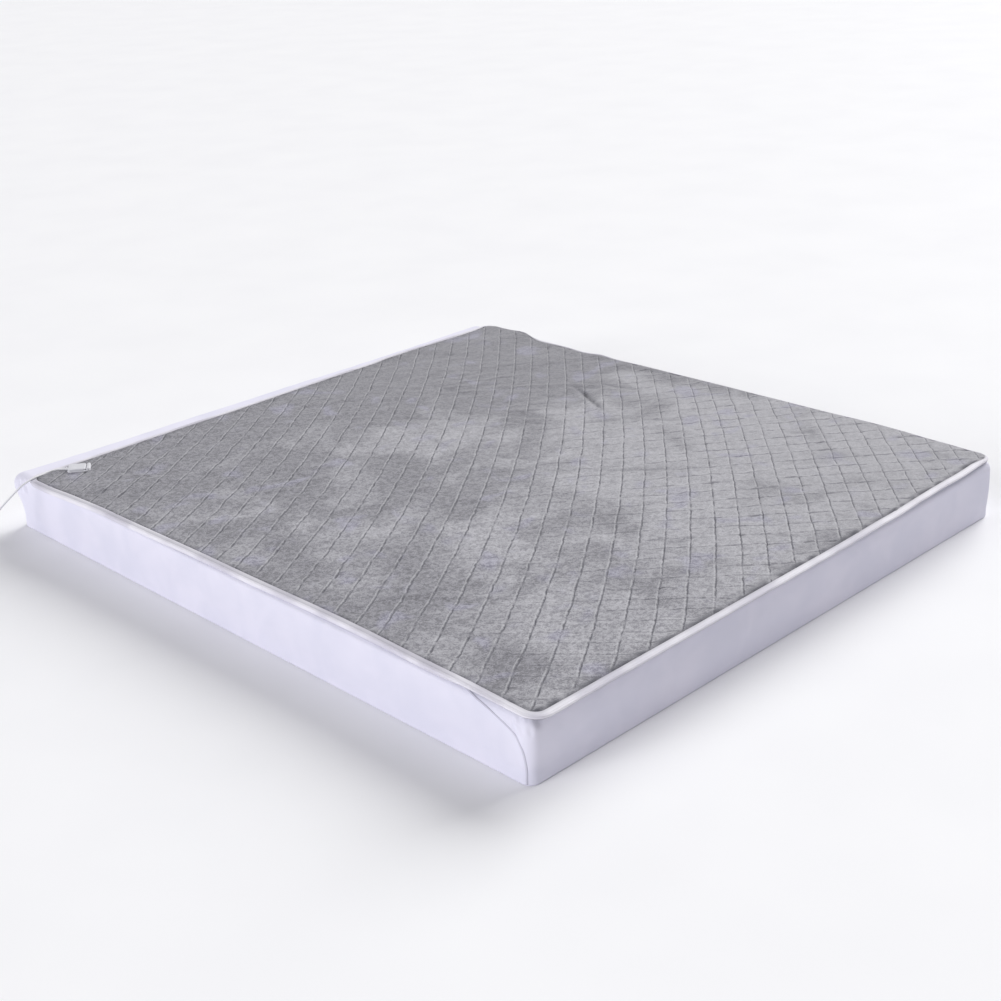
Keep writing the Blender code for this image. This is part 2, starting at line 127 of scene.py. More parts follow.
def smooth_line(points: Array, spacing: float) -> Array:
    """Carry a natural cubic spline through hand-set points.

    Carry a natural cubic spline through given points.
    points the line is the chord plus the cubic terms of those bends.

    Args:
        points: The given points, one row each.
        spacing: Distance between the points given back.

    Returns:
        Evenly spaced points of the spline.
    """
    knots = run_length(points)
    steps = np.diff(knots)
    count = len(points)
    inner = np.arange(1, count - 1)
    system = np.eye(count)
    system[inner, inner - 1] = steps[:-1]
    system[inner, inner] = 2 * (steps[:-1] + steps[1:])
    system[inner, inner + 1] = steps[1:]
    slopes = np.diff(points, axis=0) / steps[:, None]
    turns = np.zeros_like(points)
    turns[1:-1] = 6 * np.diff(slopes, axis=0)
    bends = np.linalg.solve(system, turns)
    at = np.linspace(0, knots[-1], 40 * count)
    i = np.clip(np.searchsorted(knots, at) - 1, 0, count - 2)
    left = ((knots[i + 1] - at) / steps[i])[:, None]
    right = 1 - left
    square = steps[i][:, None] ** 2 / 6
    line = left * points[i] + right * points[i + 1]
    line += square * ((left**3 - left) * bends[i] + (right**3 - right) * bends[i + 1])
    return even_points(line, spacing)


def read_off(at: Array, run: Array, table: Array) -> Array:
    """Rows of a table at any places along it, read off between the rows at places run."""
    return np.column_stack([np.interp(at, run, column) for column in table.T])


def joined(x: Array, y: Array, z: Array) -> Array:
    """Points from their coordinates, each one carried over the others' shape."""
    return np.stack(np.broadcast_arrays(x, y, z), axis=-1)


def even_points(line: Array, spacing: float) -> Array:
    """Points of a line at even distances.

    Args:
        line: Close points of the line.
        spacing: Distance wanted between points.

    Returns:
        Points from the line's start to its end.
    """
    run = run_length(line)
    at = np.linspace(0, run[-1], max(2, round(run[-1] / spacing) + 1))
    return read_off(at, run, line)


def cut_corners(loop: Array, times: int) -> Array:
    """Round a closed loop: each side keeps its middle half, over and over.

    Args:
        loop: The loop's points.
        times: How often the corners are cut.

    Returns:
        The rounded loop, closed on itself.
    """
    for _ in range(times):
        after = np.roll(loop, -1, axis=0)
        loop = np.stack([0.75 * loop + 0.25 * after, 0.25 * loop + 0.75 * after], axis=1).reshape(-1, 2)
    return np.vstack([loop, loop[:1]])


def carried(path: Array, section: Array) -> Array:
    """Carry a section along a path.

    Args:
        path: Points of the path, n of them.
        section: Outward and upward offsets, m by 2, or n by m by 2 where it changes on the way.

    Returns:
        Points, n by m by 3: each path point plus its offsets along the level direction to the
        path's right and the direction square to both.
    """
    along = unit(np.gradient(path, axis=0))
    side = unit(np.cross(along, [0.0, 0.0, 1.0]))
    up = np.cross(side, along)
    section = np.broadcast_to(section, (len(path), *section.shape[-2:]))
    return path[:, None] + section[..., :1] * side[:, None] + section[..., 1:] * up[:, None]


def circle(count: int) -> Array:
    """A circle of radius 1 as count points, anticlockwise."""
    turn = np.linspace(0, math.tau, count, endpoint=False)
    return np.stack([np.cos(turn), np.sin(turn)], axis=-1)


def rounded_outline(half_x: float, half_y: float, radius: float, spacing: Array) -> tuple[Array, Array]:
    """The rim of a rectangle with round corners, anticlockwise from the start of its -Y side.

    Each side is a straight run and each corner a quarter circle. Moving every point back along its
    outward direction gives the same rim further in.

    Args:
        half_x: Half of the size along X.
        half_y: Half of the size along Y.
        radius: Radius of the corners.
        spacing: Distances between points in the middle of a side and near and on the corners.

    Returns:
        The points and their outward directions, each n by 2.
    """
    straight = []
    for half in (half_x - radius, half_y - radius):
        dense = min(60 * MM, half / 4)
        ends = np.arange(0, dense, spacing[1])
        middle = np.linspace(dense, 2 * half - dense, round((2 * half - 2 * dense) / spacing[0]) + 1)
        straight.append(np.concatenate([ends, middle, 2 * half - ends[::-1]]) - half)
    steps = max(6, round(radius * math.pi / 2 / spacing[1]))
    arc = np.linspace(0, math.pi / 2, steps + 1)[1:-1]
    places, ways = [], []
    for number in range(4):
        along = straight[number % 2]
        half_along = (half_x, half_y)[number % 2]
        half_out = (half_y, half_x)[number % 2]
        way = np.tile([0.0, -1.0], (len(along), 1))
        place = np.stack([along, np.full_like(along, -half_out)], axis=-1)
        bend = np.stack([np.sin(arc), -np.cos(arc)], axis=-1)
        corner = np.array([half_along - radius, -(half_out - radius)]) + radius * bend
        turn = number * math.pi / 2
        spin = np.array([[math.cos(turn), math.sin(turn)], [-math.sin(turn), math.cos(turn)]])
        places += [place @ spin, corner @ spin]
        ways += [way @ spin, bend @ spin]
    return np.concatenate(places), np.concatenate(ways)


# --- Meshes ---


@dataclass
class Shell:
    """Points, faces and cloth coordinates gathered for one piece.

    Cloth coordinates are two places on the cloth and a shade from 0 to 1.
    """

    points: list[Array] = field(default_factory=list)
    cloth: list[Array] = field(default_factory=list)
    faces: list[list[int]] = field(default_factory=list)
    count: int = 0

    def add(self, points: Array, faces: Array, cloth: Array | None = None) -> None:
        """Add points and the faces between them.

        Args:
            points: Points, in any grid shape, with 3 coordinates each.
            faces: Corner numbers of each face, counted from the first of these points.
            cloth: Three cloth coordinates a point, or None for zeros.
        """
        points = np.reshape(points, (-1, 3))
        self.points.append(points)
        self.cloth.append(np.zeros((len(points), 3)) if cloth is None else np.reshape(cloth, (-1, 3)))
        self.faces.extend((np.asarray(faces) + self.count).tolist())
        self.count += len(points)

    def add_grid(self, points: Array, cloth: Array | None = None) -> None:
        """Add a grid of points with a four-sided face in each of its cells.

        Args:
            points: Rows by columns by 3. A closed way round repeats its first row or column.
            cloth: Rows by columns by 3, or None.
        """
        rows, columns = points.shape[:2]
        corner = (np.arange(rows - 1)[:, None] * columns + np.arange(columns - 1)).ravel()
        faces = np.stack([corner, corner + 1, corner + columns + 1, corner + columns], axis=-1)
        self.add(points, faces, cloth)

    def add_pole(self, ring: Array, pole: Array | None = None) -> None:
        """Close a ring of points with a fan to one point.

        Args:
            ring: The ring's points.
            pole: Where the fan meets, or None for the ring's middle.
        """
        pole = ring.mean(axis=0) if pole is None else pole
        count = len(ring)
        near = np.arange(count)
        faces = np.stack([near, (near + 1) % count, np.full(count, count)], axis=-1)
        self.add(np.vstack([ring, pole]), faces)

    def add_tube(self, rings: Array) -> None:
        """Add a tube with both ends closed.

        Args:
            rings: n rings of m points, by 3, without a repeated point.
        """
        self.add_grid(np.concatenate([rings, rings[:, :1]], axis=1))
        self.add_pole(rings[0])
        self.add_pole(rings[-1])

    def build(self, name: str, finish: "Finish", sharp: float = 180.0) -> Object:
        """Make the piece: equal points become one, and its faces are turned outwards.

        Args:
            name: The piece's name.
            finish: Its finish.
            sharp: Edges bent by more degrees than this stay sharp.

        Returns:
            The piece, riding on the body.
        """
        mesh = bpy.data.meshes.new(name)
        mesh.from_pydata(np.concatenate(self.points).tolist(), [], self.faces)
        corners = np.empty(len(mesh.loops), np.int32)
        mesh.loops.foreach_get("vertex_index", corners)
        cloth = np.concatenate(self.cloth).astype(np.float32)
        layer = mesh.uv_layers.new(name="cloth")
        layer.data.foreach_set("uv", cloth[corners, :2].ravel())
        mesh.attributes.new("shade", "FLOAT", "POINT").data.foreach_set("value", cloth[:, 2].copy())
        bm = bmesh.new()
        bm.from_mesh(mesh)
        bmesh.ops.remove_doubles(bm, verts=bm.verts, dist=0.01 * MM)
        bmesh.ops.recalc_face_normals(bm, faces=bm.faces)
        bm.to_mesh(mesh)
        bm.free()
        mesh.shade_smooth()
        mesh.set_sharp_from_angle(angle=math.radians(sharp))
        mesh.materials.append(finish.build())
        piece = bpy.data.objects.new(name, mesh)
        bpy.context.scene.collection.objects.link(piece)
        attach(piece, BODY)
        LOG.info("%s: %d points, %d faces", name, len(mesh.vertices), len(mesh.polygons))
        return piece


# --- Finishes ---


def linear(colour: str) -> tuple[float, float, float, float]:
    """Turn an sRGB hex colour into the linear values that a shader takes.

    Args:
        colour: Such as "#9a9aa0".

    Returns:
        Red, green, blue and an alpha of 1.
    """
    values = [int(colour[i : i + 2], 16) / 255 for i in (1, 3, 5)]
    red, green, blue = [v / 12.92 if v <= 0.04045 else ((v + 0.055) / 1.055) ** 2.4 for v in values]
    return red, green, blue, 1.0


def add_node(
    tree: bpy.types.NodeTree,
    kind: str,
    sockets: Sequence | dict = (),
    output: int | str = 0,
    **settings: str | bool,
) -> bpy.types.NodeSocket:
    """Add a node with its settings, constants and links.

    Args:
        tree: The nodes that it joins.
        kind: The node's type.
        sockets: A constant, or the output that feeds it, for each input, in order or by name.
        output: Which of its outputs is wanted.
        settings: The node's own settings.

    Returns:
        That output.
    """
    node = tree.nodes.new(kind)
    for name, value in settings.items():
        setattr(node, name, value)
    for socket, value in sockets.items() if isinstance(sockets, dict) else enumerate(sockets):
        if isinstance(value, bpy.types.NodeSocket):
            tree.links.new(value, node.inputs[socket])
        else:
            node.inputs[socket].default_value = value
    return node.outputs[output]


MATH = "ShaderNodeMath"
NOISE = "ShaderNodeTexNoise"
RANGE = "ShaderNodeMapRange"
MIX = "ShaderNodeMix"
BUMP = "ShaderNodeBump"
PLACE = "ShaderNodeTexCoord"
SPLIT = "ShaderNodeSeparateXYZ"
SOFT_STEP = {"interpolation_type": "SMOOTHSTEP"}
COLOURS = {"output": 2, "data_type": "RGBA"}


@dataclass(frozen=True)
class Finish:
    """A surface finish: its material slot, empty for the floor, its shader's constants and its nodes."""

    name: str
    slot: str
    colour: str
    roughness: float
    metallic: float = 0.0
    ior: float = 1.5
    sheen: float = 0.0
    sheen_roughness: float = 0.5

    def build(self) -> Material:
        """Make the material, once.

        Returns:
            The material, with one Principled shader fed by the finish's own nodes.
        """
        made = bpy.data.materials.get(self.name)
        if made:
            return made
        made = bpy.data.materials.new(self.name)
        made.use_nodes = True
        tree = made.node_tree
        tree.nodes.clear()
        sockets = {
            "Base Color": linear(self.colour),
            "Roughness": self.roughness,
            "Metallic": self.metallic,
            "Sheen Weight": self.sheen,
            "Sheen Roughness": self.sheen_roughness,
        }
        if not self.metallic:
            sockets["IOR"] = self.ior
        sockets |= self.pattern(partial(add_node, tree))
        shader = add_node(tree, "ShaderNodeBsdfPrincipled", sockets)
        end = tree.nodes.new("ShaderNodeOutputMaterial")
        tree.links.new(shader, end.inputs["Surface"])
        return made

    def pattern(self, add: Callable) -> dict:
        """The shader's inputs that vary over the surface; a plain finish has none."""
        return {}


@dataclass(frozen=True)
class BrushedFleece(Finish):
    """Polyester flannel fleece, knitted and brushed: a short matt pile in soft clouds of grey.

    The quilting lines are drawn from the cloth coordinates, which count lines of each family: each is a thin
    dark line of painted shade in its groove that comes and goes, with a painted highlight on the lip on its
    left. The clouds carry a painted light gradient, and the shade attribute adds painted shade at the
    binding's seam and in the wrinkles' valleys.
    """

    light: str = "#a4a3a8"
    lavender: str = "#9795a8"
    # Painted shade: colour of the dark lines in the grooves, and of the painted shade at the binding's seam
    # and in the wrinkles' valleys.
    groove: str = "#54545d"
    # Painted highlight: colour of the light lips beside the lines.
    lip: str = "#c9c9cc"
    tuft_dark: str = "#5a5a60"
    tuft_light: str = "#ececee"
    cloud_mm: float = 230.0
    spot_mm: float = 95.0
    tuft_mm: float = 11.0
    fibre_mm: float = 3.5
    ragged_mm: float = 11.0
    ragged: float = 0.018
    # Each row says where it begins and ends, then its value at both. The clouds shift along X, along Y and
    # along X + Y as a painted light gradient, lighter to the right and the near side and darker to the far
    # side; the grain and both families' plainness change across the cloth.
    painted_light_shifts: tuple[tuple[float, ...], ...] = (
        (-0.9, 0.5, -0.08, 0.07),
        (-0.4, 1.0, 0.08, -0.22),
        (0.4, 1.6, 0.0, -0.24),
    )
    grain_depth: tuple[float, ...] = (-0.6, 0.8, 0.66, 0.28)
    first_plain: tuple[float, ...] = (0.1, 0.9, 1.0, 0.70)
    second_plain: tuple[float, ...] = (-0.6, 1.1, 0.06, 0.68)
    first_broken: tuple[float, ...] = (34.0, 0.36, 0.54, 0.28, 1.0)
    second_broken: tuple[float, ...] = (27.0, 0.38, 0.58, 0.12, 0.90)
    widen: float = 1.7
    line_half_width: float = 0.050
    lip_at: float = 0.075
    lip_half_width: float = 0.040
    lip_share: float = 0.50
    painted_shade_share: float = 0.80
    relief_mm: float = 2.5

    def line(
        self, add: Callable, count: Any, place: Any, broken: tuple[float, ...], widen: float, share: Any
    ) -> tuple[Any, Any]:
        """How much painted shade and painted highlight one family's lines put on the cloth.

        Args:
            add: Adds a node.
            count: The output that counts this family's lines.
            place: The piece's own coordinates.
            broken: Distance between breaks along a line in mm, the noise below and above which
                it is faintest and plainest, and how plain it is there.
            widen: How many times wider than the first family's its lines are.
            share: How strongly this family shows here.

        Returns:
            The painted shade share and the painted highlight share, as outputs.
        """
        ragged = add(NOISE, {"Vector": place, "Scale": 1000 / self.ragged_mm, "Detail": 2.0})
        ragged = add(RANGE, [ragged, 0.25, 0.75, 0.5 - self.ragged * widen, 0.5 + self.ragged * widen])
        past = add(MATH, [add(MATH, [count, ragged], operation="ADD")], operation="FRACT")
        signed = add(MATH, [past, 0.5], operation="SUBTRACT")
        breaks = add(NOISE, {"Vector": place, "Scale": 1000 / broken[0], "Detail": 1.5})
        shown = add(RANGE, [breaks, *broken[1:]], **SOFT_STEP)
        shown = add(MATH, [shown, share], operation="MULTIPLY")
        away = add(MATH, [signed], operation="ABSOLUTE")
        # Painted shade along the line's groove.
        dark = add(RANGE, [away, self.line_half_width * widen, 0.006 * widen], **SOFT_STEP)
        # Painted highlight on the lip to the line's left.
        beside = add(MATH, [signed, self.lip_at * widen], operation="SUBTRACT")
        beside = add(MATH, [beside], operation="ABSOLUTE")
        light = add(RANGE, [beside, self.lip_half_width * widen, 0.0], **SOFT_STEP)
        return (
            add(MATH, [dark, shown], operation="MULTIPLY"),
            add(MATH, [light, shown], operation="MULTIPLY"),
        )

    def pattern(self, add: Callable) -> dict:
        """Clouds with a painted light gradient, tufts and fibres, the quilting lines in painted shade and
        painted highlight, and painted shade from the shade attribute.

        Args:
            add: Adds a node.

        Returns:
            The shader's colour and normal.
        """
        place = add(PLACE, output="Object")
        cloth = add("ShaderNodeUVMap", uv_map="cloth")
        sockets = {"Vector": place, "Scale": 1000 / self.cloud_mm, "Detail": 3.5, "Distortion": 0.7}
        x, y = add(SPLIT, [place], "X"), add(SPLIT, [place], "Y")
        far = add(MATH, [x, y], operation="ADD")
        clouds = add(NOISE, sockets)
        # Painted light: the clouds shift lighter to the right and the near side and darker to the far side.
        for way, shift in zip((x, y, far), self.painted_light_shifts):
            clouds = add(MATH, [clouds, add(RANGE, [way, *shift])], operation="ADD")
        clouds = add(RANGE, [clouds, 0.34, 0.68], **SOFT_STEP)
        colour = add(MIX, {0: clouds, 6: linear(self.colour), 7: linear(self.light)}, **COLOURS)
        sockets = {"Vector": place, "Scale": 1000 / self.spot_mm, "Detail": 1.0, "Distortion": 0.4}
        spots = add(RANGE, [add(NOISE, sockets), 0.58, 0.74, 0.0, 0.55], **SOFT_STEP)
        colour = add(MIX, {0: spots, 6: colour, 7: linear(self.lavender)}, **COLOURS)
        tufts = add(NOISE, {"Vector": place, "Scale": 1000 / self.tuft_mm, "Detail": 2.0, "Distortion": 0.6})
        fibres = add(NOISE, {"Vector": place, "Scale": 1000 / self.fibre_mm, "Detail": 3.0})
        grain = add(MATH, [tufts, fibres], operation="ADD")
        grain = add(MATH, [grain, 0.5], operation="MULTIPLY")
        shade = add(RANGE, [grain, 0.38, 0.62], **SOFT_STEP)
        shade = add(MIX, {0: shade, 6: linear(self.tuft_dark), 7: linear(self.tuft_light)}, **COLOURS)
        depth = add(RANGE, [x, *self.grain_depth], **SOFT_STEP)
        colour = add(MIX, {0: depth, 6: colour, 7: shade}, blend_type="SOFT_LIGHT", **COLOURS)
        plain = add(RANGE, [x, *self.first_plain], **SOFT_STEP)
        dark, light = self.line(add, add(SPLIT, [cloth], "X"), place, self.first_broken, 1.0, plain)
        plain = add(MATH, [add(MATH, [x, 0.75], operation="MULTIPLY"), y], operation="SUBTRACT")
        plain = add(RANGE, [plain, *self.second_plain], **SOFT_STEP)
        count = add(SPLIT, [cloth], "Y")
        other_dark, other_light = self.line(add, count, place, self.second_broken, self.widen, plain)
        dark = add(MATH, [dark, other_dark], operation="MAXIMUM")
        light = add(MATH, [light, other_light], operation="MAXIMUM")
        # The lips' painted highlight.
        light = add(MATH, [light, self.lip_share], operation="MULTIPLY")
        colour = add(MIX, {0: light, 6: colour, 7: linear(self.lip)}, **COLOURS)
        # Painted shade from the shade attribute, at the binding's seam and in the wrinkles' valleys, takes
        # the groove colour like the lines' painted shade.
        painted_shade = add("ShaderNodeAttribute", output="Fac", attribute_name="shade")
        painted_shade = add(MATH, [painted_shade, self.painted_shade_share], operation="MULTIPLY")
        dark = add(MATH, [dark, painted_shade], operation="MAXIMUM")
        colour = add(MIX, {0: dark, 6: colour, 7: linear(self.groove)}, **COLOURS)
        return {"Base Color": colour, "Normal": add(BUMP, {"Height": grain, "Distance": self.relief_mm * MM})}


@dataclass(frozen=True)
class WovenTape(Finish):
    """Polyester tape, closely woven and folded: faint ribs across it and soft lengthwise tones, with painted
    shade under its nose.
    """

    shade: str = "#d4d1dc"
    grey: str = "#98969f"
    rib_mm: float = 1.6
    relief_mm: float = 0.08
    cloud_mm: float = 150.0

    def pattern(self, add: Callable) -> dict:
        """Ribs across the tape in relief, an uneven tone, and the grey from the shade attribute, painted
        shade under the nose among it.
        """
        cloth = add("ShaderNodeUVMap", uv_map="cloth")
        along = add(MATH, [add(SPLIT, [cloth], "X"), math.tau * 1000 / self.rib_mm], operation="MULTIPLY")
        ribs = add(MATH, [along], operation="SINE")
        cloud = add(NOISE, {"Vector": add(PLACE, output="Object"), "Scale": 1000 / self.cloud_mm})
        cloud = add(RANGE, [cloud, 0.36, 0.62], **SOFT_STEP)
        colour = add(MIX, {0: cloud, 6: linear(self.shade), 7: linear(self.colour)}, **COLOURS)
        # Grey from the shade attribute: painted shade under the nose, and greyer along the left run and
        # towards the inner edge.
        greyed = add("ShaderNodeAttribute", output="Fac", attribute_name="shade")
        colour = add(MIX, {0: greyed, 6: colour, 7: linear(self.grey)}, **COLOURS)
        return {
            "Base Color": colour,
            "Normal": add(BUMP, {"Height": ribs, "Distance": self.relief_mm * MM, "Strength": 0.6}),
        }


@dataclass(frozen=True)
class SheetCotton(Finish):
    """Plain-woven cotton, stretched smooth. Its 0.3 mm threads are drawn 2 mm wide so that they show."""

    shade: str = "#e3e2f1"
    thread_mm: float = 2.0
    relief_mm: float = 0.05
    cloud_mm: float = 130.0

    def pattern(self, add: Callable) -> dict:
        """A fine cross weave in relief, and a faint uneven tone."""
        place = add(PLACE, output="Object")
        level = add(MATH, [add(SPLIT, [place], "X"), add(SPLIT, [place], "Y")], operation="ADD")
        pace = math.tau * 1000 / self.thread_mm
        warp = add(MATH, [add(MATH, [level, pace], operation="MULTIPLY")], operation="SINE")
        rise = add(MATH, [add(SPLIT, [place], "Z"), pace], operation="MULTIPLY")
        weft = add(MATH, [rise], operation="SINE")
        weave = add(MATH, [warp, weft], operation="MULTIPLY")
        tone = add(NOISE, {"Vector": place, "Scale": 1000 / self.cloud_mm, "Distortion": 0.5})
        tone = add(RANGE, [tone, 0.3, 0.7], **SOFT_STEP)
        colour = add(MIX, {0: tone, 6: linear(self.shade), 7: linear(self.colour)}, **COLOURS)
        return {
            "Base Color": colour,
            "Normal": add(BUMP, {"Height": weave, "Distance": self.relief_mm * MM, "Strength": 0.5}),
        }


@dataclass(frozen=True)
class MouldedPlastic(Finish):
    """Injection-moulded plastic: an even colour, with the fine spark-eroded grain of its mould."""

    worn: str = "#c8c8cc"
    tone_mm: float = 14.286
    gloss_mm: float = 9.091
    grain_mm: float = 0.8
    relief_mm: float = 0.05

    def pattern(self, add: Callable) -> dict:
        """Grain in relief, and a slightly uneven tone and gloss from handling."""
        place = add(PLACE, output="Object")
        tone = add(NOISE, {"Vector": place, "Scale": 1000 / self.tone_mm})
        tone = add(RANGE, [tone, 0.35, 0.75, 0.0, 0.35], **SOFT_STEP)
        rough = add(NOISE, {"Vector": place, "Scale": 1000 / self.gloss_mm})
        rough = add(RANGE, [rough, 0.3, 0.7, self.roughness - 0.05, self.roughness + 0.08], **SOFT_STEP)
        grain = add(NOISE, {"Vector": place, "Scale": 1000 / self.grain_mm})
        return {
            "Base Color": add(MIX, {0: tone, 6: linear(self.colour), 7: linear(self.worn)}, **COLOURS),
            "Roughness": rough,
            "Normal": add(BUMP, {"Height": grain, "Distance": self.relief_mm * MM}),
        }


@dataclass(frozen=True)
class HookStrap(Finish):
    """Nylon hook-and-loop strap: a matt felt of tiny loops."""

    light: str = "#3a3a3c"
    loop_mm: float = 0.9
    relief_mm: float = 0.4

    def pattern(self, add: Callable) -> dict:
        """Loops in relief and in tone."""
        loops = add(NOISE, {"Vector": add(PLACE, output="Object"), "Scale": 1000 / self.loop_mm})
        tone = add(RANGE, [loops, 0.35, 0.7], **SOFT_STEP)
        return {
            "Base Color": add(MIX, {0: tone, 6: linear(self.colour), 7: linear(self.light)}, **COLOURS),
            "Normal": add(BUMP, {"Height": loops, "Distance": self.relief_mm * MM}),
        }


@dataclass(frozen=True)
class PlatedBrass(Finish):
    """Nickel-plated brass strip, stamped: fine lengthwise brush lines."""

    line_mm: float = 0.35
    relief_mm: float = 0.02

    def pattern(self, add: Callable) -> dict:
        """Brush lines along X in relief and in gloss."""
        place = add(PLACE, output="Object")
        drawn = add("ShaderNodeMapping", {"Vector": place, "Scale": (0.04, 1.0, 1.0)})
        lines = add(NOISE, {"Vector": drawn, "Scale": 1000 / self.line_mm})
        return {
            "Roughness": add(RANGE, [lines, 0.3, 0.7, self.roughness - 0.08, self.roughness + 0.1]),
            "Normal": add(BUMP, {"Height": lines, "Distance": self.relief_mm * MM}),
        }


@dataclass(frozen=True)
class StudioFloor(Finish):
    """Matt painted studio floor, faintly mottled."""

    shade: str = "#f4f4f6"
    mottle_mm: float = 400.0

    def pattern(self, add: Callable) -> dict:
        """A faint mottle in tone."""
        tone = add(NOISE, {"Vector": add(PLACE, output="Object"), "Scale": 1000 / self.mottle_mm})
        return {"Base Color": add(MIX, {0: tone, 6: linear(self.colour), 7: linear(self.shade)}, **COLOURS)}


FLEECE = BrushedFleece(
    "brushed_flannel_fleece", "grey_fleece", "#7d7c82", 0.95, sheen=0.25, sheen_roughness=0.6
)
TAPE = WovenTape("woven_polyester_tape", "white_tape", "#efedf4", 0.62, sheen=0.1)
THREAD = Finish("polyester_sewing_thread", "white_tape", "#dddbe4", 0.6, sheen=0.1)
SHEET = SheetCotton("plain_woven_cotton", "sheet_cotton", "#eae8f6", 0.85, sheen=0.1)
SEAM = SheetCotton("felled_cotton_seam", "sheet_cotton", "#d6d4e2", 0.85, sheen=0.1, shade="#cbc9d8")
WHITE_PLASTIC = MouldedPlastic("moulded_white_plastic", "white_plastic", "#eeeef2", 0.34, worn="#e2e2e8")
GREY_PLASTIC = MouldedPlastic(
    "moulded_pale_grey_plastic", "pale_grey_plastic", "#dedee3", 0.42, worn="#d4d4da"
)
# Painted shade: dark plastic for the block that stands in for the shadow in the connector's slit.
SLIT_SHADE = MouldedPlastic(
    "painted_slit_shade", "pale_grey_plastic", "#45454a", 0.5, worn="#505056"
)
VINYL = MouldedPlastic(
    "soft_white_vinyl", "white_vinyl", "#f5f5f8", 0.45, worn="#eeeef2", grain_mm=1.2, relief_mm=0.02
)
STRAP = HookStrap("hook_and_loop_strap", "black_strap", "#202022", 0.85)
BRASS = PlatedBrass("nickel_plated_brass", "blade_brass", "#cfc8b8", 0.3, metallic=1.0)
FLOOR = StudioFloor("matt_studio_floor", "", "#fbfbfc", 0.8)


# --- Blanket ---


@dataclass(frozen=True)
class Crease:
    """A soft ridge in the cloth from one place to another; a trough where its height is below 0."""

    start: tuple[float, float]
    end: tuple[float, float]
    height_mm: float
    half_width_mm: float

    def away(self, x: Array, y: Array) -> tuple[Array, Array]:
        """Distance of places from the crease, and the share of its length beside them."""
        start = np.array(self.start)
        run = np.array(self.end) - start
        share = np.clip(((x - start[0]) * run[0] + (y - start[1]) * run[1]) / (run @ run), 0, 1)
        return np.hypot(x - start[0] - share * run[0], y - start[1] - share * run[1]), share

    def height(self, x: Array, y: Array) -> Array:
        """The crease's height at places, a bell across it."""
        return self.height_mm * MM * bell(self.away(x, y)[0], self.half_width_mm * MM)

    def tapered(self, x: Array, y: Array) -> Array:
        """The crease's height at places, with its ends run out to nothing."""
        away, share = self.away(x, y)
        ends = np.sqrt(np.sin(math.pi * np.clip(share, 0.03, 0.97)))
        return self.height_mm * MM * bell(away, self.half_width_mm * MM) * ends


@dataclass(frozen=True)
class Ripple:
    """A patch of small parallel wrinkles: its middle, the way its crests run, and its sizes."""

    middle: tuple[float, float]
    turn: float
    crest_mm: float
    reach_mm: float
    spacing_mm: float
    height_mm: float


def wandered(rows: Sequence[tuple[float, float]], along: Array) -> Array:
    """How far outside its straight line an edge lies, eased from row to row.

    Args:
        rows: Places along the edge, and how many millimetres outwards it lies at each.
        along: Places along the edge.

    Returns:
        Outward distances in metres.
    """
    places, values = np.array(rows).T
    values = values * MM
    along = np.clip(along, places[0], places[-1])
    after = np.clip(np.searchsorted(places, along), 1, len(rows) - 1)
    share = (along - places[after - 1]) / (places[after] - places[after - 1])
    return values[after - 1] + (values[after] - values[after - 1]) * ease(share)


# Places along each edge, and how many millimetres outwards it lies there.
LEFT_EDGE = ((-0.99, 6), (-0.75, -1), (-0.39, -8), (0.06, -2), (0.53, 5), (0.87, 20))
RIGHT_EDGE = (
    (-0.95, 8), (-0.84, 14), (-0.61, 27), (-0.42, 17), (-0.13, 12), (0.20, 3), (0.40, -10),
    (0.46, -24), (0.57, -13), (0.67, -18), (0.79, 12), (0.91, 14),
)
FOOT_EDGE = ((-0.84, -1), (-0.47, -3), (0.22, -6), (0.70, -21), (0.88, -29))
HEAD_EDGE = ((-0.85, -22), (-0.30, -12), (0.25, 2), (0.80, 8))
CREASES = [
    Crease((0.600, 0.250), (0.500, 0.065), 5.0, 45),
    Crease((0.610, 0.240), (0.760, 0.215), 3.0, 50),
    Crease((0.420, 0.940), (0.620, 0.900), 3.5, 45),
    Crease((0.700, 0.560), (0.890, 0.420), 4.0, 50),
    Crease((0.780, 0.800), (0.900, 0.790), 5.5, 50),
    Crease((-0.680, 0.780), (-0.560, 0.700), 2.5, 50),
    Crease((-0.860, 0.720), (-0.740, 0.640), 2.0, 50),
    Crease((0.100, 0.240), (0.360, 0.120), 2.0, 60),
    Crease((0.200, -0.930), (0.330, -1.000), 2.5, 50),
    Crease((-0.300, 0.560), (-0.050, 0.470), 1.6, 80),
]
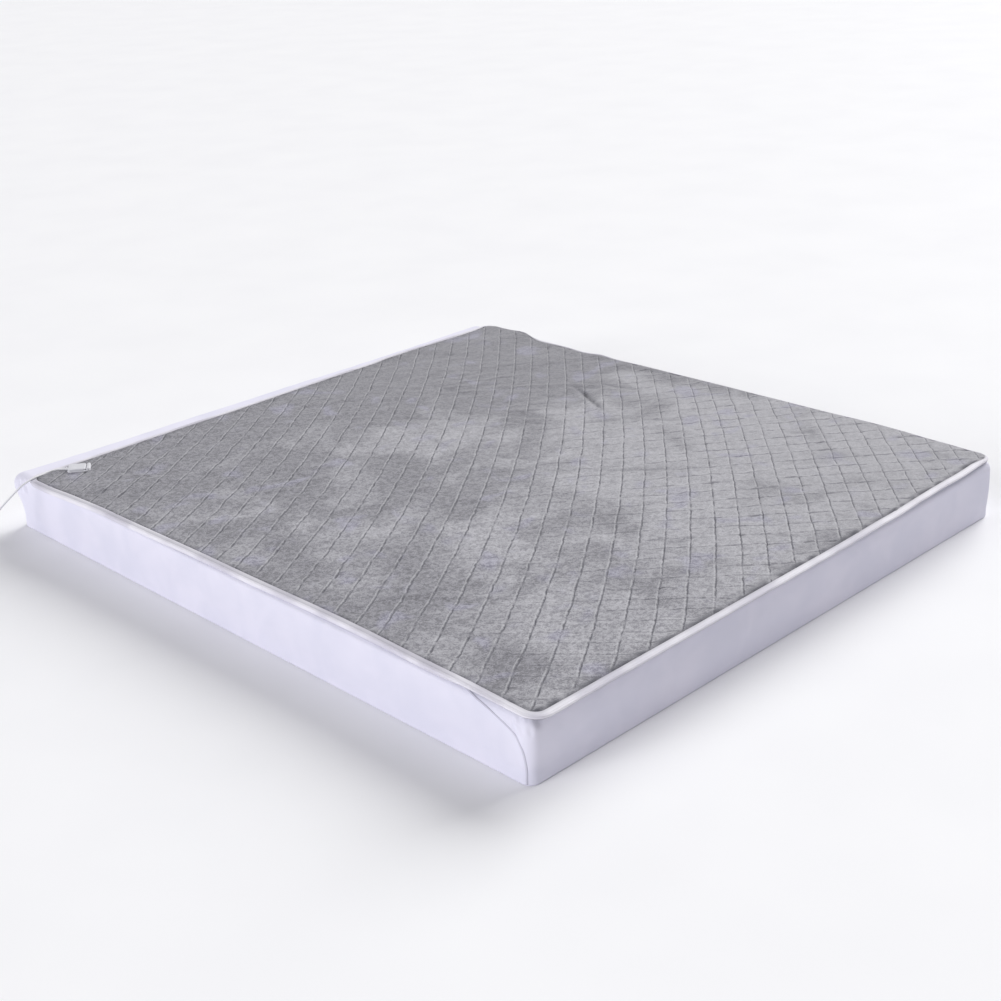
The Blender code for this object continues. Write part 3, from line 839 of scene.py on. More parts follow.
WRINKLES = [
    # The main crease: a light bank, a sharp valley, and a facet that rises to a rounded crest.
    Crease((0.596, 0.284), (0.484, 0.072), 2.8, 10),
    Crease((0.609, 0.272), (0.497, 0.060), -5.0, 8),
    Crease((0.668, 0.205), (0.523, 0.064), 5.6, 28),
    Crease((0.604, 0.322), (0.668, 0.200), 2.0, 10),
    Crease((0.583, 0.306), (0.650, 0.180), -1.8, 9),
    Crease((0.457, 0.450), (0.635, 0.277), 2.0, 12),
    Crease((0.650, 0.272), (0.722, 0.097), -2.0, 10),
    # Short wrinkles, far to near.
    Crease((0.567, 0.822), (0.599, 0.799), -2.2, 9),
    Crease((-0.107, 0.735), (-0.036, 0.704), 1.5, 9),
    Crease((0.344, 0.602), (0.343, 0.485), -1.5, 10),
    Crease((0.065, 0.500), (0.140, 0.384), -1.7, 10),
    Crease((0.352, 0.503), (0.429, 0.440), 1.5, 10),
    Crease((-0.132, 0.440), (-0.034, 0.423), 1.6, 12),
    Crease((0.707, 0.342), (0.789, 0.272), -1.8, 10),
    Crease((0.015, 0.313), (0.002, 0.194), -1.4, 9),
    Crease((0.488, 0.309), (0.501, 0.236), -1.6, 10),
    Crease((0.304, 0.306), (0.443, 0.166), 1.8, 10),
    Crease((0.272, 0.268), (0.400, 0.120), -1.8, 10),
    Crease((0.259, 0.253), (0.355, 0.085), 1.6, 9),
    Crease((0.236, 0.232), (0.340, 0.070), -1.4, 9),
    Crease((0.022, 0.087), (0.089, -0.062), -1.5, 9),
    Crease((0.385, 0.049), (0.472, -0.029), -1.8, 10),
    Crease((-0.317, 0.048), (-0.224, 0.032), 1.5, 9),
    Crease((0.373, -0.040), (0.373, -0.115), 1.4, 9),
    Crease((0.524, -0.092), (0.600, -0.171), -1.8, 10),
    Crease((0.146, -0.242), (0.288, -0.389), -2.0, 11),
    Crease((0.062, -0.358), (0.092, -0.456), 1.8, 10),
    Crease((-0.318, -0.360), (-0.228, -0.410), 1.6, 9),
    Crease((-0.228, -0.410), (-0.219, -0.476), -1.4, 9),
    Crease((0.697, -0.454), (0.751, -0.518), -1.7, 10),
    Crease((0.177, -0.473), (0.169, -0.545), 1.5, 9),
    Crease((-0.106, -0.552), (-0.053, -0.578), -1.9, 9),
    Crease((-0.214, -0.562), (-0.160, -0.580), 1.6, 9),
    Crease((-0.592, -0.614), (-0.485, -0.729), 1.5, 9),
    Crease((-0.099, -0.686), (-0.022, -0.704), -1.9, 9),
    Crease((0.100, -0.829), (0.141, -0.894), -1.8, 9),
    Crease((-0.300, -0.966), (-0.020, -0.977), -1.8, 7),
    # Wrinkles round the connector and along the head's left corner.
    Crease((-0.854, 0.668), (-0.807, 0.675), -2.2, 8),
    Crease((-0.856, 0.597), (-0.787, 0.642), 1.9, 9),
    Crease((-0.814, 0.557), (-0.755, 0.604), -1.9, 9),
    Crease((-0.861, 0.760), (-0.790, 0.720), 1.8, 9),
    Crease((-0.671, 0.875), (-0.664, 0.844), -1.8, 8),
    Crease((-0.700, 0.760), (-0.610, 0.800), 1.6, 10),
    Crease((-0.560, 0.830), (-0.470, 0.790), -1.6, 10),
    Crease((-0.400, 0.820), (-0.330, 0.840), 1.5, 10),
]
RIPPLES = [
    Ripple((-0.475, 0.334), -38, 150, 110, 36, 1.0),
    Ripple((0.467, 0.550), -30, 160, 120, 40, 1.3),
    Ripple((0.325, 0.194), -48, 110, 80, 30, 0.9),
    Ripple((-0.859, 0.786), 12, 60, 45, 26, 1.0),
    Ripple((-0.700, 0.700), -52, 90, 70, 30, 1.0),
    Ripple((0.030, 0.700), -25, 180, 120, 42, 1.0),
    Ripple((0.550, -0.200), -50, 140, 100, 34, 0.8),
    Ripple((-0.250, -0.250), -35, 160, 110, 38, 0.8),
    Ripple((0.350, -0.600), -50, 190, 130, 36, 0.8),
]


@dataclass(frozen=True)
class Quilting:
    """Two families of quilting lines that cross in diamonds of about 90 by 70 mm.

    Each family counts its lines: a line lies wherever the count is whole. A count is a cubic of
    the place, because the cloth lies a little bowed and askew, plus a small wobble.
    """

    # Factors of 1, x, y, x2, xy, y2, x2y, xy2, y3 and x3 for each family.
    first: tuple[float, ...] = (-0.198, -10.402, 13.348, -1.450, -0.358, 0.339, 0.184, -0.300, 0.023, -0.131)
    second: tuple[float, ...] = (-0.437, 11.620, 15.014, -1.544, -0.429, 0.355, 0.122, 0.500, -0.660, 0.622)
    wobble_mm: float = 0.6
    reach: float = 1.15

    def counts(self, x: Array, y: Array) -> Array:
        """Both families' counts at places of the blanket.

        Args:
            x: Places across.
            y: Places along.

        Returns:
            The counts of both families, in a last axis of two.
        """
        terms = [np.ones_like(x), x, y, x * x, x * y, y * y, x * x * y, x * y * y, y**3, x**3]
        counts = np.stack(terms, axis=-1) @ np.array([self.first, self.second]).T
        pace = self.wobble_mm * MM * self.first[2]
        for family in range(2):
            wobble = 1.4 * waves(x, y, 0.150, 21 + family) + 0.7 * waves(x, y, 0.045, 23 + family)
            counts[..., family] += pace * wobble
        return counts

    def places(self, counts: Array) -> Array:
        """Places of the blanket at which both families have these counts.

        The slopes at the middle turn the counts still missing into a step, eight times over.

        Args:
            counts: Counts of both families, in a last axis of two.

        Returns:
            x and y, in a last axis of two.
        """
        slopes = np.array([self.first[1:3], self.second[1:3]])
        back = np.linalg.inv(slopes).T
        places = np.zeros_like(counts)
        for _ in range(8):
            missing = counts - self.counts(places[..., 0], places[..., 1])
            places = np.clip(places + missing @ back, -self.reach, self.reach)
        return places


@dataclass(frozen=True)
class Slab:
    """The plain mattress's sizes, and how far its shoulder rounds in."""

    width: float = 1.800
    length: float = 2.000
    height: float = 0.162
    middle_y: float = 0.0125
    shoulder: float = 0.024


CONNECTOR_MIDDLE = (-0.780, 0.8685)


@dataclass(frozen=True)
class Blanket:
    """Form of the blanket as it lies on the mattress: its plan, its rim and its height."""

    width: float = 1.800
    length: float = 1.960
    middle_y: float = -0.0325
    corner: float = 0.045
    wander_reach: float = 0.30
    slab: Slab = Slab()
    gap: float = 0.0003
    lift: float = 0.0018
    droop: float = 0.004
    droop_distance: float = 0.049
    connector: tuple[float, float] = CONNECTOR_MIDDLE
    connector_reach: float = 0.075
    roll: float = 0.0065
    roll_squeeze: float = 0.62
    roll_from: float = 0.80
    roll_ease: float = 0.08
    roll_edge: float = 0.884
    roll_width: float = 0.020

    def shift(self, x: Array, y: Array) -> tuple[Array, Array]:
        """How far the wandering edges move places of the straight-edged blanket.

        Args:
            x: Places across the straight-edged blanket.
            y: Places along it.

        Returns:
            The moves along X and Y, which fade out inwards over the reach.
        """
        to_side = self.width / 2 - np.abs(x)
        to_end = self.length / 2 - np.abs(y - self.middle_y)
        side = np.where(x < 0, -wandered(LEFT_EDGE, y), wandered(RIGHT_EDGE, y))
        end = np.where(y < self.middle_y, -wandered(FOOT_EDGE, x), wandered(HEAD_EDGE, x))
        return side * ease(1 - to_side / self.wander_reach), end * ease(1 - to_end / self.wander_reach)

    def settled(self, x: Array, y: Array) -> tuple[Array, Array]:
        """Places of the straight-edged blanket once its edges wander."""
        move_x, move_y = self.shift(x, y)
        return x + move_x, y + move_y

    def straightened(self, x: Array, y: Array) -> tuple[Array, Array]:
        """Places of the straight-edged blanket that settle at x and y, found by four returns."""
        flat_x, flat_y = x, y
        for _ in range(4):
            move_x, move_y = self.shift(flat_x, flat_y)
            flat_x, flat_y = x - move_x, y - move_y
        return flat_x, flat_y

    def inset(self, x: Array, y: Array) -> Array:
        """Distance of places of the straight-edged blanket from its rim, with the corners round.

        Args:
            x: Places across the straight-edged blanket.
            y: Places along it.

        Returns:
            Distances, below 0 outside the rim.
        """
        past_x = np.abs(x) - (self.width / 2 - self.corner)
        past_y = np.abs(y - self.middle_y) - (self.length / 2 - self.corner)
        outside = np.hypot(np.maximum(past_x, 0), np.maximum(past_y, 0))
        return self.corner - outside - np.minimum(np.maximum(past_x, past_y), 0)

    def rolled(self, x: Array) -> Array:
        """How far the rim rolls outwards and down: 0, rising to 1 along the right-hand side."""
        return ease((x - self.roll_from) / self.roll_ease)

    def pulled(self, flat: Array, ways: Array, inset: Array) -> Array:
        """Places of the rim where its roll draws them outwards.

        A place 15 mm from the edge comes to lie 6 mm from it, and one 34 mm away stays.

        Args:
            flat: Places on the straight-edged blanket, in a last axis of two.
            ways: Their outward directions.
            inset: Their distances from the rim.

        Returns:
            The places moved outwards.
        """
        share = self.roll_squeeze * self.rolled(flat[..., 0]) * ease((0.034 - inset) / 0.022)
        return flat + ways * (np.maximum(inset, 0) * share)[..., None]

    def lain(self, flat: Array) -> tuple[Array, Array, Array]:
        """Where places of the straight-edged blanket, n by 2, come to lie, and their insets."""
        inset = self.inset(flat[:, 0], flat[:, 1])
        return *self.settled(*self.pulled(flat, self.outward(flat), inset).T), inset

    def turned_down(self, x: Array, settled_x: Array, inset: Array) -> Array:
        """How far the rolled rim turns down, where it stands past the mattress's flat top.

        Args:
            x: Places across the straight-edged blanket.
            settled_x: The same places once its edges wander.
            inset: Distances from the rim.

        Returns:
            Drops in metres, growing as the square of the distance outwards.
        """
        outwards = np.clip(1 - inset / self.roll_width, 0, 1.1)
        past = ease((settled_x - self.roll_edge) / self.roll_width)
        return self.roll * outwards**2 * self.rolled(x) * past

    def lie(self, x: Array, y: Array) -> Array:
        """Height of the blanket's underside at settled places.

        The mattress's top and a gap, plus the highest of the creases, level round the connector,
        less a droop that grows as the square of the distance past the mattress's flat top.

        Args:
            x: Settled places across.
            y: Settled places along.

        Returns:
            Heights in metres.
        """
        raised = np.max([row.height(x, y) for row in CREASES], axis=0) * self.clear_of_connector(x, y)
        slab = self.slab
        past_x = np.maximum(np.abs(x) - (slab.width / 2 - slab.shoulder), 0)
        past_y = np.abs(y - slab.middle_y) - (slab.length / 2 - slab.shoulder)
        past = past_x**2 + np.maximum(past_y, 0) ** 2
        return slab.height + self.gap + raised - self.droop * past / self.droop_distance**2

    def clear_of_connector(self, x: Array, y: Array) -> Array:
        """0 under and round the connector, rising to 1 away from it."""
        away = np.hypot(x - self.connector[0], y - self.connector[1])
        return ease(away / self.connector_reach - 1)

    def rim(self, spacing: float) -> tuple[Array, Array]:
        """The straight-edged blanket's rim and its outward directions, closed on itself."""
        places, ways = rounded_outline(self.width / 2, self.length / 2, self.corner, (spacing, spacing / 2))
        places = places + [0.0, self.middle_y]
        return np.vstack([places, places[:1]]), np.vstack([ways, ways[:1]])

    def outward(self, flat: Array) -> Array:
        """Outward directions at places of the straight-edged blanket, square to its nearest edge."""
        level = flat - [0.0, self.middle_y]
        past = np.abs(level) - (np.array([self.width, self.length]) / 2 - self.corner)
        nearest = past >= past.max(axis=-1, keepdims=True)
        way = np.where(past.min(axis=-1, keepdims=True) > 0, past, nearest)
        return unit(way * np.where(level < 0, -1.0, 1.0))


@dataclass
class FleecePanel:
    """The heated cloth: a quilted top whose mesh follows the quilting lines, a rim and an underside."""

    form: Blanket
    quilting: Quilting = Quilting()
    lines_each_way: int = 31
    samples: tuple[float, ...] = (0.0, 0.045, 0.135, 0.31, 0.50, 0.69, 0.865, 0.955)
    groove_mm: float = 2.3
    groove_half_width: float = 0.045
    lip_mm: float = 0.7
    lip_at: float = 0.120
    crown_mm: float = 0.78
    wrinkle_scale: float = 1.3
    valley_shade_mm: float = 3.2
    seam_inset: float = 0.0215
    seam_half_width: float = 0.0095
    field_inset: float = 0.034
    field_reach: tuple[float, float] = (0.97, 1.05)
    ring_inset_mm: float = 26.0
    rim_spacing: float = 0.011
    # Inset of a line along the rim, and the cloth's height there above what it lies on.
    rim_rows_mm: tuple[tuple[float, float], ...] = (
        (6.0, 6.0),
        (17.2, 8.5),
        (18.2, 8.9),
        (19.4, 9.9),
        (21.5, 10.5),
        (24.0, 10.8),
        (26.0, 10.9),
        (34.0, 10.1),
        (50.0, 9.2),
    )
    under_scales: tuple[float, ...] = (0.97, 0.90, 0.75, 0.50, 0.25)

    @property
    def ring_inset(self) -> float:
        """Distance from the rim at which the rim's rows meet the quilted field, in metres."""
        return self.ring_inset_mm * MM

    def quilted(self, x: Array, y: Array, counts: Array) -> Array:
        """Height of the quilting over the flat pile, at settled places.

        Each line is a narrow bell-shaped groove with a low lip on its left; its depth comes and
        goes along the line. Between the lines each diamond crowns as a product of parabolas.

        Args:
            x: Settled places across.
            y: Settled places along.
            counts: Both families' counts there.

        Returns:
            Heights in metres.
        """
        height = np.zeros_like(x)
        crown = np.ones_like(x)
        near = ease(0.38 + 0.45 * x - 0.6 * y)
        for family, share in enumerate((1.0, 0.08 + 0.45 * near)):
            from_line = (counts[..., family] + 0.5) % 1.0 - 0.5
            depth = share * np.clip(0.75 + 0.50 * waves(x, y, 0.050, 3 + family), 0.10, 1.5)
            height -= self.groove_mm * MM * depth * bell(from_line, self.groove_half_width)
            height += self.lip_mm * MM * depth * bell(from_line - self.lip_at, 0.06)
            crown = crown * (1 - (2 * from_line) ** 2)
        return height - self.crown_mm * MM * (1 - crown)

    def wrinkles(self, x: Array, y: Array) -> Array:
        """Height of the small wrinkles and the soft unevenness, at settled places.

        Each ripple is a cosine across its crests under two bells; low hills of three sizes are
        added, and all of it is level round the connector.

        Args:
            x: Settled places across.
            y: Settled places along.

        Returns:
            Heights in metres.
        """
        height = 0.60 * waves(x, y, 0.140, 11) + 0.45 * waves(x, y, 0.066, 12) + 0.28 * waves(x, y, 0.036, 13)
        for row in RIPPLES:
            turn = math.radians(row.turn)
            along = (x - row.middle[0]) * math.cos(turn) + (y - row.middle[1]) * math.sin(turn)
            across = (y - row.middle[1]) * math.cos(turn) - (x - row.middle[0]) * math.sin(turn)
            across = across + 6 * MM * waves(x, y, 0.09, 31)
            patch = bell(along, row.crest_mm * MM) * bell(across, row.reach_mm * MM)
            height = height + row.height_mm * patch * np.cos(math.tau * across / (row.spacing_mm * MM))
        height = height * MM + self.wrinkle_scale * sum(row.tapered(x, y) for row in WRINKLES)
        return height * self.form.clear_of_connector(x, y)

    def closed(self, x: Array, y: Array) -> Array:
        """Painted shade in the wrinkles' valleys, from 0 to 1, growing with their depth."""
        depth = sum(np.maximum(-row.tapered(x, y), 0) for row in WRINKLES)
        return np.clip(depth / (self.valley_shade_mm * MM), 0, 1) * self.form.clear_of_connector(x, y)

    def top(self, flat: Array) -> tuple[Array, Array]:
        """Points of the cloth's upper side.

        Args:
            flat: Places on the straight-edged blanket, n by 2.

        Returns:
            The points, n by 3, and at each the two quilting counts and the painted shade: a painted shadow
            along the binding's seam, strongest on the foot side, and painted shade in the wrinkles' valleys.
        """
        x, y, inset = self.form.lain(flat)
        rows = np.array(self.rim_rows_mm) * MM
        counts = self.quilting.counts(x, y)
        inner = ease((inset - 0.020) / 0.012)
        puff = 1 + 0.10 * waves(x, y, 0.045, 15) * ease((0.040 - inset) / 0.010)
        height = self.form.lie(x, y) + np.interp(inset, rows[:, 0], rows[:, 1]) * puff
        height += (self.quilted(x, y, counts) + self.wrinkles(x, y)) * inner
        height -= self.form.turned_down(flat[:, 0], x, inset)
        # Painted shadow along the binding's seam, strongest on the foot side and none where the rim rolls,
        # plus painted shade in the wrinkles' valleys.
        painted_shade = bell(inset - self.seam_inset, self.seam_half_width)
        painted_shade = painted_shade * np.clip(0.90 + 0.35 * waves(x, y, 0.06, 16), 0.3, 1.3)
        painted_shade = painted_shade * (0.35 + 0.65 * ease((-0.88 - y) / 0.05)) * (1 - self.form.rolled(flat[:, 0]))
        painted_shade = painted_shade + inner * self.closed(x, y)
        return joined(x, y, height), np.concatenate([counts, painted_shade[:, None]], axis=-1)

    def field(self) -> tuple[Array, Array, Array, Array, Array]:
        """The quilting's own grid, cut back to whole cells inside the rim.

        Returns:
            The places of all grid points on the straight-edged blanket, the cells' corner numbers,
            which grid points are spare, the counts of the grid's lines, and which cells are used.
        """
        whole = np.arange(-self.lines_each_way, self.lines_each_way)
        lines = np.add.outer(whole, np.array(self.samples)).ravel()
        counts = np.stack(np.meshgrid(lines, lines, indexing="ij"), axis=-1)
        x, y = self.quilting.places(counts.reshape(-1, 2)).T
        near = (np.abs(x) < self.field_reach[0]) & (np.abs(y) < self.field_reach[1])
        inset = np.full(x.shape, -1.0)
        flat = np.stack([x, y], axis=-1)
        flat[near] = np.stack(self.form.straightened(x[near], y[near]), axis=-1)
        inset[near] = self.form.inset(flat[near, 0], flat[near, 1])
        inside = (inset > self.field_inset).reshape(counts.shape[:2])
        cells = inside[:-1, :-1] & inside[1:, :-1] & inside[:-1, 1:] & inside[1:, 1:]
        row, column = np.nonzero(cells)
        corner = row * len(lines) + column
        faces = np.stack([corner, corner + 1, corner + len(lines) + 1, corner + len(lines)], axis=-1)
        spare = (inset > self.ring_inset + 3 * MM) & ~np.isin(np.arange(len(flat)), faces)
        return flat, faces, spare, lines, cells

    def join(
        self, flat: Array, faces: Array, spare: Array, lines: Array, cells: Array, ring: Array
    ) -> tuple[Array, Array]:
        """Triangles between the grid's stepped edge and the rim's smooth inner ring.

        A constrained Delaunay triangulation of both edges and the spare grid points between them,
        without the triangles whose middle lies in a used cell or outside the ring.

        Args:
            flat: Places of all grid points.
            faces: Used cells' corners.
            spare: Which grid points lie between.
            lines: Counts of the grid's lines.
            cells: Which cells are used.
            ring: Places of the rim's inner ring, without a repeated point.

        Returns:
            The places of the triangles' points and the triangles.
        """
        sides = np.concatenate([faces[:, [0, 1]], faces[:, [1, 2]], faces[:, [2, 3]], faces[:, [3, 0]]])
        sides, uses = np.unique(np.sort(sides, axis=1), axis=0, return_counts=True)
        sides = sides[uses == 1]
        stepped = np.unique(sides)
        places = np.concatenate([flat[stepped], flat[spare], ring])
        around = len(places) - len(ring) + np.arange(len(ring))
        edges = [np.searchsorted(stepped, sides), np.stack([around, np.roll(around, -1)], axis=-1)]
        made = delaunay_2d_cdt(places.tolist(), np.concatenate(edges).tolist(), [], 0, 1e-7)
        origin = np.array([found[0] for found in made[3]])
        triangles = origin[np.array(made[2])]
        middle = places[triangles].mean(axis=1)
        counts = self.quilting.counts(*self.form.settled(middle[:, 0], middle[:, 1]))
        cell = np.clip(np.searchsorted(lines, counts) - 1, 0, len(lines) - 2)
        outside = self.form.inset(middle[:, 0], middle[:, 1]) < self.ring_inset
        return places, triangles[~(cells[cell[:, 0], cell[:, 1]] | outside)]

    def underside(self, flat: Array) -> Array:
        """Points of the cloth's underside, which lies on the mattress and lifts at its rim."""
        x, y, inset = self.form.lain(flat)
        lift = self.form.lift * (1 - ease((inset - 0.017) / 0.028))
        height = self.form.lie(x, y) + lift - self.form.turned_down(flat[:, 0], x, inset)
        return joined(x, y, height)

    def build(self) -> Object:
        """Make the fleece panel.

        Returns:
            The piece, which stands for the model's fleece panel.
        """
        shell = Shell()
        rim, ways = self.form.rim(self.rim_spacing)
        flat, faces, spare, lines, cells = self.field()
        used, numbers = np.unique(faces, return_inverse=True)
        points, cloth = self.top(flat[used])
        shell.add(points, numbers.reshape(faces.shape), cloth)
        places, triangles = self.join(flat, faces, spare, lines, cells, (rim - ways * self.ring_inset)[:-1])
        points, cloth = self.top(places)
        shell.add(points, triangles, cloth)
        insets = [row[0] * MM for row in self.rim_rows_mm if row[0] <= self.ring_inset_mm]
        strips = [self.top(rim - ways * inset) for inset in reversed(insets)]
        rows = np.stack([strip[0] for strip in strips])
        shell.add_grid(rows, np.stack([strip[1] for strip in strips]))
        under = [self.underside(rim - ways * inset) for inset in (insets[0], 0.030)]
        middle = np.array([0.0, self.form.middle_y])
        under += [self.underside(middle + (rim - middle) * scale) for scale in self.under_scales]
        shell.add_grid(np.stack([rows[-1], *under]))
        shell.add_pole(under[-1][:-1], self.underside(middle[None] + [1e-6, 0.0])[0])
        piece = shell.build("fleece", FLEECE)
        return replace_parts(piece, "fleece_panel")


@dataclass
class EdgeBinding:
    """White tape folded over the rim, with one row of stitches that holds it."""

    form: Blanket
    spacing: float = 0.009
    # The tape's section, as insets from the edge and heights above the rim's underside.
    top_mm: float = 8.4
    under_mm: float = 0.9
    width_mm: float = 18.0
    hang_mm: float = 5.0
    nose_mm: float = 3.4
    stitch_inset_mm: float = 5.2
    stitch_mm: float = 3.4
    stitch_gap_mm: float = 0.9
    thread_mm: float = 0.8
    crown_mm: float = 0.5
    dip_mm: float = 0.7
    pucker_mm: float = 0.10
    sway_mm: float = 0.30
    grey_share: float = 0.42

    def section(self) -> Array:
        """The tape's closed section.

        The top runs outwards with a low crown and a dip under the stitches, the nose is half an
        ellipse, and the underside and the inner side run back.

        Returns:
            Inset and height in metres, one row a point.
        """
        top = np.array([18.0, 17.5, 15.6, 13.0, 10.4, 8.4, 7.0, 6.0, 5.2, 4.6, 4.1])
        rise = self.top_mm + self.crown_mm * np.sin(math.pi * (self.width_mm - top) / 14.0)
        rise -= self.dip_mm * bell(top - self.stitch_inset_mm, 0.7)
        rise[0] -= 0.5
        middle = (self.top_mm + self.under_mm) / 2
        half = (self.top_mm - self.under_mm) / 2
        turn = np.linspace(math.pi / 2, -math.pi / 2, 15)[1:-1]
        nose = np.stack([self.nose_mm * (1 - np.cos(turn)), middle + half * np.sin(turn)], axis=-1)
        under = [[3.8, -0.6], [9.0, -1.7], [17.0, -1.7]]
        inside = [[17.0, -0.6], [6.0, -0.4], [2.0, 2.4], [2.0, 6.0], [4.0, 7.0], [17.4, 7.1]]
        rows = np.vstack([np.stack([top, rise], axis=-1), nose, under, inside])
        return np.vstack([rows, rows[:1]]) * MM

    def surface(self, rim: Array, ways: Array, section: Array) -> Array:
        """Carry lines of the section round the rim.

        Args:
            rim: The rim's places on the straight-edged blanket, n by 2.
            ways: Its outward directions.
            section: Insets and heights, m by 2.

        Returns:
            Points, m by n by 3: settled places, with the rim's lift, its soft puckers and its roll.
        """
        pucker = self.pucker_mm * MM * waves(*rim.T, 0.045, 41) + self.sway_mm * MM * waves(*rim.T, 0.17, 42)
        flat = rim[None] - ways[None] * section[:, :1, None]
        inset = np.broadcast_to(section[:, :1], flat.shape[:2])
        lain = self.form.pulled(flat, ways[None], inset)
        x, y = self.form.settled(lain[..., 0], lain[..., 1])
        drop = self.form.turned_down(flat[..., 0], x, inset)
        height = self.form.lie(x, y) + self.form.lift + section[:, 1:] - drop
        outwards = 1 - np.clip(section[:, :1] / 0.015, 0, 1)
        low = ease((0.0050 - section[:, 1:]) / 0.0035) * ease((0.0042 - section[:, :1]) / 0.0010)
        hang = self.hang_mm * MM * low * self.along_left(x, y)
        return joined(x, y, height + pucker * outwards - hang)

    def along_left(self, x: Array, y: Array) -> Array:
        """1 along the left-hand side, where the tape folds down over the sheet, and 0 elsewhere."""
        return ease((-0.80 - x) / 0.05) * ease((y + 0.86) / 0.16) * ease((0.90 - y) / 0.03)

    def greyed(self, points: Array, inset: Array, height: Array) -> Array:
        """How grey the tape is: greyer along its left run and towards its inner edge, and painted shade under
        its nose.

        Args:
            points: Points of the tape.
            inset: Their insets in the section.
            height: Their heights in the section.

        Returns:
            Shares from 0 to 1.
        """
        left = self.along_left(points[..., 0], points[..., 1])
        far = ease((points[..., 1] + 0.10) / 0.5)
        # Greyer along the left run, keeping a bright inner strip at the far end.
        worn = left * self.grey_share * ease((inset - 0.0035) / 0.0015)
        worn = worn * (1 - far * ease((inset - 0.0145) / 0.002))
        # Greyer towards the inner edge.
        inner_grey = (1 - left) * self.grey_share * ease((inset - 0.005) / 0.012)
        # Painted shade on the nose's underside, standing in for the shadow under the tape.
        under = (1 - left) * ease((0.0042 - height) / 0.0024)
        return np.maximum(np.maximum(worn, inner_grey), under)

    def stitches(self, rim: Array, ways: Array) -> Object:
        """Make the row of stitches: a pointed four-sided stick of thread for each stitch.

        Args:
            rim: The rim's places on the straight-edged blanket.
            ways: Its outward directions.

        Returns:
            The piece.
        """
        height = self.top_mm + self.crown_mm - self.dip_mm + 0.1
        line = self.surface(rim, ways, np.array([[self.stitch_inset_mm, height]]) * MM)[0]
        pace = (self.stitch_mm + self.stitch_gap_mm) * MM
        line = even_points(line, pace)
        start, along = line[:-1], np.diff(line, axis=0)
        side = unit(np.cross(along, [0.0, 0.0, 1.0]))
        up = unit(np.cross(side, along))
        half = self.thread_mm * MM / 2
        share = self.stitch_mm * MM / pace
        ring = [half * side, half * up, -half * side, -half * up]
        sunk = -0.7 * half * up
        corners = [start + 0.02 * share * along + sunk]
        for place in (0.25, 0.75):
            corners += [start + place * share * along + offset for offset in ring]
        corners.append(start + 0.98 * share * along + sunk)
        points = np.stack(corners, axis=1)
        faces = []
        for near, after in ((1, 2), (2, 3), (3, 4), (4, 1)):
            faces += [[0, near, after], [near, near + 4, after + 4], [near, after + 4, after]]
            faces.append([9, after + 4, near + 4])
        starts = np.arange(len(points))[:, None, None] * points.shape[1]
        shell = Shell()
        shell.add(points, (np.array(faces)[None] + starts).reshape(-1, 3))
        return shell.build("binding_stitches", THREAD)

    def build(self) -> tuple[Object, Object]:
        """Make the tape and its stitches.

        Returns:
            The tape, which stands for the model's edge binding, and the stitches.
        """
        rim, ways = self.form.rim(self.spacing)
        section = self.section()
        points = self.surface(rim, ways, section)
        greyed = self.greyed(points, section[:, :1], section[:, 1:])
        cloth = joined(run_length(rim), run_length(section)[:, None], greyed)
        shell = Shell()
        shell.add_grid(points, cloth)
        tape = shell.build("binding_tape", TAPE)
        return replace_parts(tape, "edge_binding"), self.stitches(rim, ways)


# --- Mattress in its fitted sheet ---


@dataclass(frozen=True)
class Fold:
    """A ridge in the sheet from one point to another; a trough where its height is below 0."""

    start: tuple[float, float, float]
    end: tuple[float, float, float]
    height_mm: float
    half_width_mm: float


